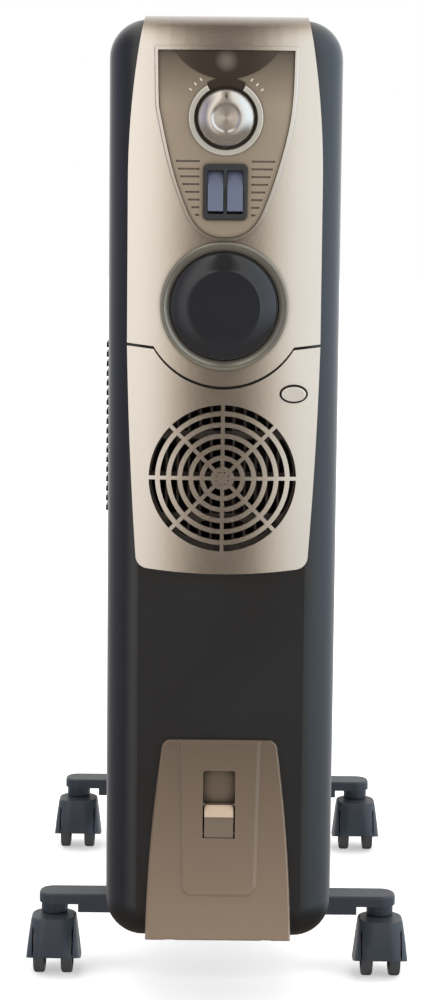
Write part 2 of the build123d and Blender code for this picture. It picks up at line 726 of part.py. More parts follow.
with BuildPart() as control_inset:
    with BuildSketch(at_depth(0)):
        add(inset_outline(-RUN_GAP))
    extrude(amount=20)
    add(inset_form, mode=Mode.INTERSECT)
    add(plate_grooves.part, mode=Mode.SUBTRACT)
    with BuildSketch(at_depth(0)):
        add(lens_outline(0))
        with Locations((0, knob_z)):
            Circle(5.2)
        with Locations((0, switch_z)):
            Rectangle(switch_neck_w + 0.2, switch_neck_h + 0.2)
    extrude(amount=20, mode=Mode.SUBTRACT)
    with BuildSketch(at_depth(knob_well_depth)):
        with Locations((0, knob_z)):
            Circle(knob_well_r)
    extrude(amount=20, mode=Mode.SUBTRACT)
    with BuildSketch(at_depth(ring_seat)):
        with Locations((0, knob_z)):
            Circle(KNOB_RING_R + 0.1)
        with Locations((0, switch_z)):
            RectangleRounded(SWITCH_W + 0.2, SWITCH_H + 0.2, 3)
    extrude(amount=20, mode=Mode.SUBTRACT)
save(control_inset.part, "control_inset")

with BuildPart() as indicator_lens:
    with BuildSketch(at_depth(0)):
        add(lens_outline(-0.15))
    extrude(amount=20)
    add(crown_form(0.4), mode=Mode.INTERSECT)
    with BuildSketch(at_depth(0)):
        with Locations((0, lamp_z)):
            Circle(LAMP_R + 0.4)
    extrude(amount=3.3, mode=Mode.SUBTRACT)
save(indicator_lens.part, "indicator_lens")

lamp_rear = 18.0
indicator_lamp = turned(
    0,
    lamp_z,
    [
        (-3.0, 0),
        (-3.0, LAMP_R - 1.2),
        (-1.8, LAMP_R),
        (WALL, LAMP_R),
        (WALL, LAMP_R + 2.4),
        (WALL + 1.5, LAMP_R + 2.4),
        (WALL + 1.5, LAMP_R),
        (lamp_rear, LAMP_R),
        (lamp_rear, 1.0),
        (lamp_rear + 6, 1.0),
        (lamp_rear + 6, 0),
    ],
)
save(indicator_lamp, "indicator_lamp")

with BuildPart() as knob_ring:
    with BuildSketch(at_depth(ring_seat)):
        with Locations((0, knob_z)):
            Circle(KNOB_RING_R)
            Circle(KNOB_RING_R - KNOB_RING_W, mode=Mode.SUBTRACT)
        with BuildLine():
            Polyline((0, knob_z - 3), (-19, knob_z + 34), (19, knob_z + 34), close=True)
        make_face(mode=Mode.SUBTRACT)
    extrude(amount=2.4)
    fillet(knob_ring.faces().sort_by(Axis.Y)[0].edges(), 0.7)
save(knob_ring.part, "knob_ring")

# ---------------------------------------------------------------- thermostat and its knob
knob_back = knob_well_depth - 0.7
knob_shoulder = -(KNOB_PROUD - 5.0)
dish_r = 7.5
spindle_tip = -(KNOB_PROUD - 6.0)
with BuildPart() as thermostat_knob:
    with BuildSketch(Plane.YZ):
        with BuildLine():
            Polyline(
                (FACE_Y + spindle_tip, knob_z),
                (FACE_Y + spindle_tip, knob_z + spindle_r),
                (FACE_Y + knob_back, knob_z + spindle_r),
                (FACE_Y + knob_back, knob_z + KNOB_R),
                (FACE_Y + knob_shoulder, knob_z + KNOB_R - 0.6),
            )
            ThreePointArc(
                (FACE_Y + knob_shoulder, knob_z + KNOB_R - 0.6),
                (FACE_Y - KNOB_PROUD + 1.2, knob_z + KNOB_R - 4.2),
                (FACE_Y - KNOB_PROUD, knob_z + dish_r + 1.6),
            )
            Polyline(
                (FACE_Y - KNOB_PROUD, knob_z + dish_r + 1.6),
                (FACE_Y - KNOB_PROUD + 1.4, knob_z + dish_r),
                (FACE_Y - KNOB_PROUD + 2.0, knob_z),
                (FACE_Y + spindle_tip, knob_z),
            )
        make_face()
    revolve(axis=Axis((0, 0, knob_z), (0, 1, 0)))
    # Pointer line on the rim.
    with BuildSketch(at_depth(-(KNOB_PROUD + 1))):
        with Locations((0, knob_z + KNOB_R - 3.5)):
            Rectangle(1.1, 4.5)
    extrude(amount=-3.4, mode=Mode.SUBTRACT)
save(thermostat_knob.part, "thermostat_knob")

spindle_end = 12.0
spindle = turned(
    0,
    knob_z,
    [(spindle_tip, 0), (spindle_tip, spindle_r - 0.02), (spindle_end, spindle_r - 0.02), (spindle_end, 0)],
)
save(spindle, "thermostat_spindle")

with BuildPart() as thermostat:
    with BuildSketch(at_depth(WALL)):
        with Locations((0, knob_z)):
            Rectangle(34, 30)
    extrude(amount=-16)
    fillet(thermostat.edges().filter_by(Axis.Y), 3)
    with BuildSketch(at_depth(WALL)):
        with Locations((0, knob_z)):
            Circle(5)
    extrude(amount=WALL + 1.6)
    with BuildSketch(at_depth(WALL + 16)):
        with Locations((-9, knob_z), (9, knob_z)):
            Rectangle(6.3, 0.8)
    extrude(amount=-7)
    with BuildSketch(at_depth(-3)):
        with Locations((0, knob_z)):
            Circle(spindle_r + PIN_GAP)
    extrude(amount=-(3 + spindle_end + 0.4), mode=Mode.SUBTRACT)
save(thermostat.part, "thermostat")

# ---------------------------------------------------------------- twin rocker switch
pivot_depth = -2.6
pivot_r = 1.25
frame_front = -7.4
neck_end = 10.0
rocker_x = (rocker_divider + ROCKER_W) / 2 + RUN_GAP
rocker_reach = 0.8        # trunnion beyond the running gap
with BuildPart() as switch_frame:
    with BuildSketch(at_depth(switch_flange_back)):
        with Locations((0, switch_z)):
            RectangleRounded(SWITCH_W, SWITCH_H, 2.8)
    extrude(amount=switch_flange_back - frame_front)
    fillet(switch_frame.faces().sort_by(Axis.Y)[0].edges(), 1.0)
    with BuildSketch(at_depth(neck_end)):
        with Locations((0, switch_z)):
            Rectangle(switch_neck_w, switch_neck_h)
    extrude(amount=neck_end - switch_flange_back + 0.5)
    with BuildSketch(at_depth(neck_end)):
        with Locations((-rocker_x, switch_z), (rocker_x, switch_z)):
            RectangleRounded(ROCKER_W + 2 * RUN_GAP, rocker_window_h, 0.8)
    extrude(amount=neck_end + 20, mode=Mode.SUBTRACT)
    with BuildSketch(Plane.YZ.offset(-(rocker_window_w / 2 + rocker_reach + 0.3))):
        with Locations((FACE_Y + pivot_depth, switch_z)):
            Circle(pivot_r + PIN_GAP)
    extrude(amount=rocker_window_w + 2 * rocker_reach + 0.6, mode=Mode.SUBTRACT)
save(switch_frame.part, "switch_frame")

ridge = 6.0               # pivot to the crest of a rocker
tilt = radians(ROCKER_TILT)
rocker_end = ridge - ROCKER_H / 2 * sin(tilt) / cos(tilt)
for side, name in ((-1, "rocker_left"), (1, "rocker_right")):
    tilted = Plane(
        origin=(side * rocker_x, FACE_Y + pivot_depth, switch_z),
        x_dir=(0, -cos(tilt), sin(tilt)),
        z_dir=(-1, 0, 0),
    )
    with BuildPart() as rocker:
        with BuildSketch(tilted.offset(-ROCKER_W / 2)):
            with BuildLine():
                Polyline(
                    (-3.4, 4.0),
                    (-3.4, -4.0),
                    (0.6, -ROCKER_H / 2),
                    (rocker_end, -ROCKER_H / 2),
                    (ridge, 0),
                    (rocker_end, ROCKER_H / 2),
                    (0.6, ROCKER_H / 2),
                    close=True,
                )
            make_face()
        extrude(amount=ROCKER_W)
        fillet(rocker.edges().filter_by(Axis.X).sort_by(Axis.Y)[0:3], 0.6)
        with BuildSketch(tilted.offset(-ROCKER_W / 2 - RUN_GAP - rocker_reach)):
            Circle(pivot_r)
        extrude(amount=ROCKER_W + 2 * RUN_GAP + 2 * rocker_reach)
    save(rocker.part, name)

with BuildPart() as switch_body:
    with BuildSketch(at_depth(neck_end)):
        with Locations((0, switch_z)):
            Rectangle(switch_neck_w, switch_neck_h)
    extrude(amount=-12)
    with BuildSketch(at_depth(neck_end + 12)):
        with Locations((0, switch_z)):
            with GridLocations(2 * rocker_x, 9, 2, 3):
                Rectangle(4.8, 0.8)
    extrude(amount=-7)
save(switch_body.part, "switch_body")

# ---------------------------------------------------------------- 24 hour timer
timer_hub_r = 5.0
timer_hub_end = 14.0
ring_front = -7.8
dial_back = -3.0
dial_edge = -5.6
dial_front = -12.0
timer_ring = turned(
    0,
    timer_z,
    [
        (0, TIMER_DIAL_R + 0.5),
        (0, TIMER_RING_R),
        (ring_front + 0.7, TIMER_RING_R),
        (ring_front, TIMER_RING_R - 0.7),
        (ring_front, TIMER_RING_R - 1.6),
        (ring_front + 0.8, TIMER_RING_R - 2.4),
        (ring_front + 2.4, TIMER_DIAL_R + 1.2),
        (ring_front + 2.8, TIMER_DIAL_R + 0.5),
    ],
)
save(timer_ring, "timer_ring")

with BuildPart() as timer_dial:
    with BuildSketch(Plane.YZ):
        with BuildLine():
            Polyline(
                (FACE_Y + dial_front, timer_z),
                (FACE_Y + timer_hub_end, timer_z),
                (FACE_Y + timer_hub_end, timer_z + timer_hub_r),
                (FACE_Y + dial_back, timer_z + timer_hub_r),
                (FACE_Y + dial_back, timer_z + TIMER_DIAL_R),
                (FACE_Y + dial_edge, timer_z + TIMER_DIAL_R),
            )
            Spline(
                (FACE_Y + dial_edge, timer_z + TIMER_DIAL_R),
                (FACE_Y + dial_front + 2.4, timer_z + TIMER_DIAL_R - 3.6),
                (FACE_Y + dial_front + 0.6, timer_z + TIMER_DIAL_R - 10.0),
                (FACE_Y + dial_front, timer_z),
                tangents=[(-1, -0.2), (0, -1)],
            )
        make_face()
    revolve(axis=Axis((0, 0, timer_z), (0, 1, 0)))
save(timer_dial.part, "timer_dial")

with BuildPart() as timer_movement:
    with BuildSketch(at_depth(WALL)):
        with Locations((0, timer_z)):
            Circle(28)
    extrude(amount=-20)
    chamfer(timer_movement.edges().sort_by(Axis.Y)[-1:], 1.5)
    with BuildSketch(at_depth(WALL + 20)):
        with Locations((0, timer_z - 16)):
            Rectangle(24, 10)
    extrude(amount=-10)
    with BuildSketch(at_depth(WALL)):
        with Locations((0, timer_z)):
            Circle(timer_hub_r + PIN_GAP)
    extrude(amount=-(timer_hub_end - WALL + 0.4), mode=Mode.SUBTRACT)
save(timer_movement.part, "timer_movement")

# ---------------------------------------------------------------- push button for the fan heater
button_crown = crown_depth(BUTTON_X)
button_back = -(BUTTON_TRAVEL + 0.4)
collar_front = WALL + RUN_GAP
stem_end = collar_front + 2.2
switch_gap = 0.4
fan_switch_front = stem_end + BUTTON_TRAVEL + switch_gap
with BuildPart() as fan_button:
    with BuildSketch(at_depth(button_back)):
        with Locations((BUTTON_X, button_z)):
            Ellipse(BUTTON_HALF_W, BUTTON_HALF_H)
    extrude(amount=button_back - button_crown + 3.2)
    fillet(fan_button.faces().sort_by(Axis.Y)[0].edges(), 1.0)
    with BuildSketch(at_depth(stem_end)):
        with Locations((BUTTON_X, button_z)):
            Circle(button_stem_r)
    extrude(amount=stem_end - button_back + 0.5)
    with BuildSketch(at_depth(stem_end)):
        with Locations((BUTTON_X, button_z)):
            Circle(button_stem_r + 1.6)
    extrude(amount=stem_end - collar_front)
save(fan_button.part, "fan_button")

with BuildPart() as fan_switch:
    with BuildSketch(at_depth(fan_switch_front + 12)):
        with Locations((BUTTON_X, button_z)):
            Rectangle(18, 13)
    extrude(amount=fan_switch_front + 12 - WALL)
    with BuildSketch(at_depth(fan_switch_front)):
        with Locations((BUTTON_X, button_z)):
            Rectangle(12, 14)
    extrude(amount=fan_switch_front - WALL, mode=Mode.SUBTRACT)
    with BuildSketch(at_depth(fan_switch_front + 12)):
        with Locations((BUTTON_X - 5, button_z), (BUTTON_X + 5, button_z)):
            Rectangle(0.8, 6)
    extrude(amount=-6)
save(fan_switch.part, "fan_switch")

# ---------------------------------------------------------------- fan heater
duct_wall = 2.0
duct_end = 38.0
spider_t = 3.0
motor_r = 17.0
motor_front = duct_end + spider_t
motor_end = BOX_DEPTH - WALL - 8.0
shaft_r = 1.6
impeller_mid = 26.0
impeller_r = fan_opening_r - 3.5
blade_chord = 14.0
with BuildPart() as fan_shroud:
    add(
        turned(
            0,
            grille_z,
            [
                (WALL, fan_opening_r),
                (WALL, fan_opening_r + 5.5),
                (WALL + 2, fan_opening_r + 5.5),
                (WALL + 2, fan_opening_r + duct_wall),
                (motor_front, fan_opening_r + duct_wall),
                (motor_front, fan_opening_r),
            ],
        )
    )
    with BuildSketch(at_depth(motor_front)):
        with Locations((0, grille_z)):
            Circle(motor_r)
            with PolarLocations(0, 2, angular_range=180, endpoint=False, start_angle=45):
                Rectangle(2 * fan_opening_r + 2, 7)
            Circle(motor_r - 7, mode=Mode.SUBTRACT)
    extrude(amount=spider_t)
save(fan_shroud.part, "fan_shroud")

with BuildPart() as fan_motor:
    add(
        turned(
            0,
            grille_z,
            [
                (motor_front - 5, 0),
                (motor_front - 5, 6),
                (motor_front, 6),
                (motor_front, motor_r - 1),
                (motor_front + 2, motor_r),
                (motor_end - 2, motor_r),
                (motor_end, motor_r - 2),
                (motor_end, 0),
            ],
        )
    )
    with BuildSketch(at_depth(motor_end - 3)):
        with Locations((0, grille_z)):
            Circle(shaft_r + PIN_GAP)
    extrude(amount=motor_end, mode=Mode.SUBTRACT)
save(fan_motor.part, "fan_motor")

with BuildPart() as fan_impeller:
    with BuildSketch(at_depth(impeller_mid + 7)):
        with Locations((0, grille_z)):
            Circle(12)
    extrude(amount=15)
    fillet(fan_impeller.faces().sort_by(Axis.Y)[0].edges(), 3)
    for k in range(7):
        turn = radians(k * 360 / 7)
        root = Plane(
            origin=(10 * cos(turn), FACE_Y + impeller_mid, grille_z + 10 * sin(turn)),
            x_dir=(0, 1, 0),
            z_dir=(cos(turn), 0, sin(turn)),
        )
        with BuildSketch(root):
            Rectangle(blade_chord, 1.6, rotation=35)
        extrude(amount=impeller_r - 10)
    with BuildSketch(at_depth(motor_end - 3.5)):
        with Locations((0, grille_z)):
            Circle(shaft_r)
    extrude(amount=motor_end - 3.5 - impeller_mid)
save(fan_impeller.part, "fan_impeller")

with BuildPart() as ptc_element:
    with BuildSketch(at_depth(16)):
        with Locations((0, grille_z)):
            Circle(fan_opening_r - 0.1)
            Circle(fan_opening_r - 3, mode=Mode.SUBTRACT)
            with GridLocations(7, 1, 11, 1):
                Rectangle(1.4, 2 * (fan_opening_r - 2))
            with GridLocations(1, 26, 1, 3):
                Rectangle(2 * (fan_opening_r - 2), 5)
            Circle(fan_opening_r - 0.1, mode=Mode.INTERSECT)
    extrude(amount=10)
save(ptc_element.part, "ptc_element")

# ---------------------------------------------------------------- cord compartment
tray_wall = 2.0
tray_mid = (TRAY_TOP + TRAY_BOTTOM) / 2
with BuildPart() as cord_tray:
    with BuildSketch(at_depth(TRAY_DEPTH)):
        with Locations((0, tray_mid)):
            RectangleRounded(2 * TRAY_HALF_W - 0.2, TRAY_TOP - TRAY_BOTTOM - 0.2, 5.9)
    extrude(amount=TRAY_DEPTH)
    with BuildSketch(at_depth(WALL + 2)):
        with Locations((0, tray_mid + 1.5)):
            RectangleRounded(2 * TRAY_HALF_W + 8, TRAY_TOP - TRAY_BOTTOM + 2.8, 5)
    extrude(amount=2)
    with BuildSketch(at_depth(TRAY_DEPTH - tray_wall)):
        with Locations((0, tray_mid)):
            RectangleRounded(
                2 * (TRAY_HALF_W - tray_wall), TRAY_TOP - TRAY_BOTTOM - 2 * tray_wall, 4
            )
    extrude(amount=TRAY_DEPTH, mode=Mode.SUBTRACT)
save(cord_tray.part, "cord_tray")

door_back = -RUN_GAP
door_front = door_back - DOOR_THICK
relief_front = door_front - DOOR_RELIEF
relief_slope = 58.0       # degrees, of the soft edge round the relief
latch_pivot_z = LATCH_BOTTOM + 2.5
latch_pivot_depth = (door_back + relief_front) / 2
latch_pin_r = 1.0
side_gap = 1.1
cup_wall = 1.5
cup_half_w = LATCH_HALF_W + side_gap + cup_wall
cup_bottom = LATCH_TOP - 2.0
cup_back = FINGER_HOLE_DEPTH + cup_wall
with BuildSketch() as relief_outline:
    with BuildLine():
        Polyline(
            (-RELIEF_TOP_HALF_W, DOOR_TOP),
            (RELIEF_TOP_HALF_W, DOOR_TOP),
            (RELIEF_HALF_W, RELIEF_BOTTOM),
            (-RELIEF_HALF_W, RELIEF_BOTTOM),
            close=True,
        )
    make_face()
    fillet(relief_outline.vertices().group_by(Axis.Y)[0], 7)

with BuildPart() as cord_door:
    with BuildSketch(at_depth(door_back)):
        with BuildLine():
            Line((-DOOR_TOP_HALF_W, DOOR_TOP), (DOOR_TOP_HALF_W, DOOR_TOP))
            ThreePointArc(
                (DOOR_TOP_HALF_W, DOOR_TOP),
                (DOOR_HALF_W - 3.2, (DOOR_TOP + DOOR_BOTTOM) / 2),
                (DOOR_HALF_W, DOOR_BOTTOM),
            )
            Line((DOOR_HALF_W, DOOR_BOTTOM), (-DOOR_HALF_W, DOOR_BOTTOM))
            ThreePointArc(
                (-DOOR_HALF_W, DOOR_BOTTOM),
                (-DOOR_HALF_W + 3.2, (DOOR_TOP + DOOR_BOTTOM) / 2),
                (-DOOR_TOP_HALF_W, DOOR_TOP),
            )
        outline = make_face()
        fillet(outline.vertices().group_by(Axis.Y)[-1], 6)
        fillet(outline.vertices().group_by(Axis.Y)[0], 3)
    extrude(amount=DOOR_THICK)
    fillet(cord_door.faces().sort_by(Axis.Y)[0].edges(), 1.2)
    with BuildSketch(at_depth(door_back)):
        add(relief_outline.sketch)
    extrude(amount=DOOR_THICK)
    with BuildSketch(at_depth(door_front)):
        add(relief_outline.sketch)
    extrude(amount=DOOR_RELIEF, taper=relief_slope)
    # Slot for the latch, and the blind finger hole above it with a cup behind.
    with BuildSketch(at_depth(cup_back)):
        with Locations((0, (FINGER_HOLE_TOP + cup_wall + cup_bottom) / 2)):
            Rectangle(2 * cup_half_w, FINGER_HOLE_TOP + cup_wall - cup_bottom)
    extrude(amount=cup_back - door_back + 0.5)
    with BuildSketch(at_depth(door_back)):
        with Locations((0, (LATCH_TOP + LATCH_BOTTOM) / 2)):
            Rectangle(2 * (LATCH_HALF_W + side_gap), LATCH_TOP - LATCH_BOTTOM + side_gap)
    extrude(amount=10, mode=Mode.SUBTRACT)
    with BuildSketch(at_depth(FINGER_HOLE_DEPTH)):
        with Locations((0, (FINGER_HOLE_TOP + LATCH_TOP) / 2)):
            RectangleRounded(
                2 * (LATCH_HALF_W + side_gap), FINGER_HOLE_TOP - LATCH_TOP - side_gap, 2
            )
    extrude(amount=10 + FINGER_HOLE_DEPTH, mode=Mode.SUBTRACT)
    with BuildSketch(Plane.YZ.offset(-(LATCH_HALF_W + side_gap + 1.5))):
        with Locations((FACE_Y + latch_pivot_depth, latch_pivot_z)):
            Circle(latch_pin_r + PIN_GAP)
    extrude(amount=2 * (LATCH_HALF_W + side_gap + 1.5), mode=Mode.SUBTRACT)
    for side in (-1, 1):
        with BuildSketch(Plane.YZ.offset(side * LUG_X - LUG_W / 2)):
            with Locations((hinge_y, hinge_z)):
                Circle(HINGE_SET_BACK - 1.4)
            with BuildLine():
                Polyline(
                    (FACE_Y + door_back - 0.5, hinge_z - 2.8),
                    (hinge_y, hinge_z - 2.8),
                    (hinge_y, hinge_z + HINGE_SET_BACK - 1.4),
                    (FACE_Y + door_back - 0.5, hinge_z + HINGE_SET_BACK - 1.4),
                    close=True,
                )
            make_face()
            with Locations((hinge_y, hinge_z)):
                Circle(pin_r + PIN_GAP, mode=Mode.SUBTRACT)
        extrude(amount=LUG_W)
save(cord_door.part, "cord_door")

ledge_h = 7.0             # bright slope at the top of the latch, where the fingertip pulls
with BuildPart() as door_latch:
    with BuildSketch(Plane.YZ.offset(-LATCH_HALF_W)):
        with BuildLine():
            Polyline(
                (FACE_Y + door_back - 0.3, LATCH_BOTTOM),
                (FACE_Y + relief_front, LATCH_BOTTOM),
                (FACE_Y + relief_front, LATCH_TOP - ledge_h - 1.4),
                (FACE_Y + relief_front - 1.0, LATCH_TOP - ledge_h),
                (FACE_Y + door_front + 0.8, LATCH_TOP - 1),
                (FACE_Y + door_front + 1.6, LATCH_TOP),
                (FACE_Y + door_back - 0.3, LATCH_TOP),
                close=True,
            )
        make_face()
    extrude(amount=2 * LATCH_HALF_W)
    with BuildSketch(Plane.YZ.offset(-(LATCH_HALF_W + side_gap + 1.2))):
        with Locations((FACE_Y + latch_pivot_depth, latch_pivot_z)):
            Circle(latch_pin_r)
    extrude(amount=2 * (LATCH_HALF_W + side_gap + 1.2))
save(door_latch.part, "door_latch")

pins = []
for side in (-1, 1):
    with BuildPart() as pin:
        with BuildSketch(Plane.YZ.offset(side * LUG_X - LUG_W / 2 - 4.5)):
            with Locations((hinge_y, hinge_z)):
                Circle(pin_r)
        extrude(amount=LUG_W + 9)
    pins.append(pin.part)
save(Compound(children=pins), "hinge_pins")

# ---------------------------------------------------------------- tip-over switch and terminals
tip_x = 50.0
tip_z = 238.0
tip_front = 62.0
tip_arm = 18.0
bob_r = 6.0
inner_back = BOX_DEPTH - WALL
with BuildPart() as tip_switch:
    with BuildSketch(at_depth(inner_back)):
        with Locations((tip_x, tip_z)):
            RectangleRounded(24, 26, 2)
    extrude(amount=inner_back - tip_front)
    with BuildSketch(at_depth(tip_front + 1)):
        with Locations((tip_x, tip_z)):
            Circle(pin_r)
    extrude(amount=14)
    with BuildSketch(at_depth(tip_front - 10.5)):
        with Locations((tip_x, tip_z)):
            Circle(pin_r + 1.6)
    extrude(amount=1.6)
save(tip_switch.part, "tip_switch")

with BuildPart() as tip_pendulum:
    with BuildSketch(at_depth(tip_front - 4)):
        with Locations((tip_x, tip_z)):
            Circle(4)
        with Locations((tip_x, tip_z - tip_arm / 2)):
            Rectangle(4, tip_arm)
        with Locations((tip_x, tip_z)):
            Circle(pin_r + PIN_GAP, mode=Mode.SUBTRACT)
    extrude(amount=4)
    with BuildSketch(at_depth(tip_front - 2)):
        with Locations((tip_x, tip_z - tip_arm)):
            Circle(bob_r)
    extrude(amount=8)
save(tip_pendulum.part, "tip_pendulum")

with BuildPart() as terminal_block:
    with BuildSketch(at_depth(inner_back)):
        with Locations((-44, tip_z)):
            Rectangle(36, 18)
    extrude(amount=12)
    with BuildSketch(at_depth(inner_back - 12)):
        with Locations((-44, tip_z)):
            with GridLocations(11, 9, 3, 2):
                Circle(2.4)
    extrude(amount=-5, mode=Mode.SUBTRACT)
    with BuildSketch(at_depth(inner_back - 12)):
        with Locations((-44, tip_z)):
            with GridLocations(11, 1, 2, 1):
                Rectangle(1, 20)
    extrude(amount=-3, mode=Mode.SUBTRACT)
save(terminal_block.part, "terminal_block")

# ---------------------------------------------------------------- caster bars and U-bolts
swivel_x = TRACK / 2
bar_half = swivel_x + BAR_END
boss_r = 9.0
boss_bottom = HOOD_TOP + 0.7
arm_end_r = 10.0
relief_x = swivel_x - 16.5  # where the deep part of an arm ends
bolt_x = HUB_R + U_BOLT_R + PIN_GAP
web_bottom = BAR_TOP - BAR_WALL
stem_top = web_bottom - 2.5


def bar_outline(y, inset):
    """Plan of a bar, shrunk by inset: a broad saddle between two arms with round ends."""
    with BuildSketch() as outline:
        with Locations((0, y)):
            RectangleRounded(2 * (bar_half - inset), ARM_W - 2 * inset, arm_end_r - inset)
            RectangleRounded(2 * (SADDLE_HALF_W - inset), SADDLE_W - 2 * inset, arm_end_r - inset)
    return outline.sketch


def caster_bar(y):
    """Inverted channel under the fins, with a boss at each end for a caster's stem."""
    with BuildPart() as bar:
        with BuildSketch(Plane.XY.offset(BAR_BOTTOM)):
            add(bar_outline(y, 0))
        extrude(amount=BAR_TOP - BAR_BOTTOM)
        fillet(bar.faces().sort_by(Axis.Z)[-1].edges(), 2)
        with BuildSketch(Plane.XY.offset(BAR_BOTTOM)):
            add(bar_outline(y, BAR_WALL))
        extrude(amount=web_bottom - BAR_BOTTOM, mode=Mode.SUBTRACT)
        with BuildSketch(Plane.XY.offset(BAR_BOTTOM)):
            for side in (-1, 1):
                with Locations((side * (relief_x + 20), y)):
                    Rectangle(40, ARM_W + 2)
        extrude(amount=BAR_END_BOTTOM - BAR_BOTTOM, mode=Mode.SUBTRACT)
        with BuildSketch(Plane.XY.offset(boss_bottom)):
            with Locations((-swivel_x, y), (swivel_x, y)):
                Circle(boss_r)
        extrude(amount=web_bottom - boss_bottom + 0.5)
        with BuildSketch(Plane.XY.offset(boss_bottom)):
            with Locations((-swivel_x, y), (swivel_x, y)):
                Circle(STEM_R + PIN_GAP)
        extrude(amount=stem_top - boss_bottom, mode=Mode.SUBTRACT)
        with BuildSketch(Plane.XY.offset(BAR_BOTTOM)):
            with Locations((-bolt_x, y), (bolt_x, y)):
                Circle(U_BOLT_R + 0.2)
        extrude(amount=BAR_TOP - BAR_BOTTOM + 1, mode=Mode.SUBTRACT)
    return bar.part


save(caster_bar(front_bar_y), "front_caster_bar")
save(caster_bar(rear_bar_y), "rear_caster_bar")

bolt_tip = BAR_BOTTOM + 1
nut_t = 5.0
u_bolts = []
wing_nuts = []
for bar_y in (front_bar_y, rear_bar_y):
    with BuildPart() as u_bolt:
        with BuildLine() as path:
            Line((-bolt_x, bar_y, bolt_tip), (-bolt_x, bar_y, lower_hub_z))
            ThreePointArc(
                (-bolt_x, bar_y, lower_hub_z),
                (0, bar_y, lower_hub_z + bolt_x),
                (bolt_x, bar_y, lower_hub_z),
            )
            Line((bolt_x, bar_y, lower_hub_z), (bolt_x, bar_y, bolt_tip))
        with BuildSketch(Plane.XY.offset(bolt_tip)):
            with Locations((-bolt_x, bar_y)):
                Circle(U_BOLT_R)
        sweep(path=path.line)
    u_bolts.append(u_bolt.part)
    for side in (-1, 1):
        with BuildPart() as wing_nut:
            with BuildSketch(Plane.XY.offset(web_bottom - nut_t)):
                with Locations((side * bolt_x, bar_y)):
                    Circle(5.5)
            extrude(amount=nut_t)
            with BuildSketch(Plane.XZ.offset(-(bar_y + 1))):
                for wing in (-1, 1):
                    with Locations((side * bolt_x + wing * 8.0, web_bottom - nut_t)):
                        RectangleRounded(8, 9, 2.5)
            extrude(amount=2)
            with BuildSketch(Plane.XY.offset(bolt_tip)):
                with Locations((side * bolt_x, bar_y)):
                    Circle(U_BOLT_R + 0.01)
            extrude(amount=web_bottom - bolt_tip, mode=Mode.SUBTRACT)
        wing_nuts.append(wing_nut.part)
save(Compound(children=u_bolts), "u_bolts")
save(Compound(children=wing_nuts), "wing_nuts")

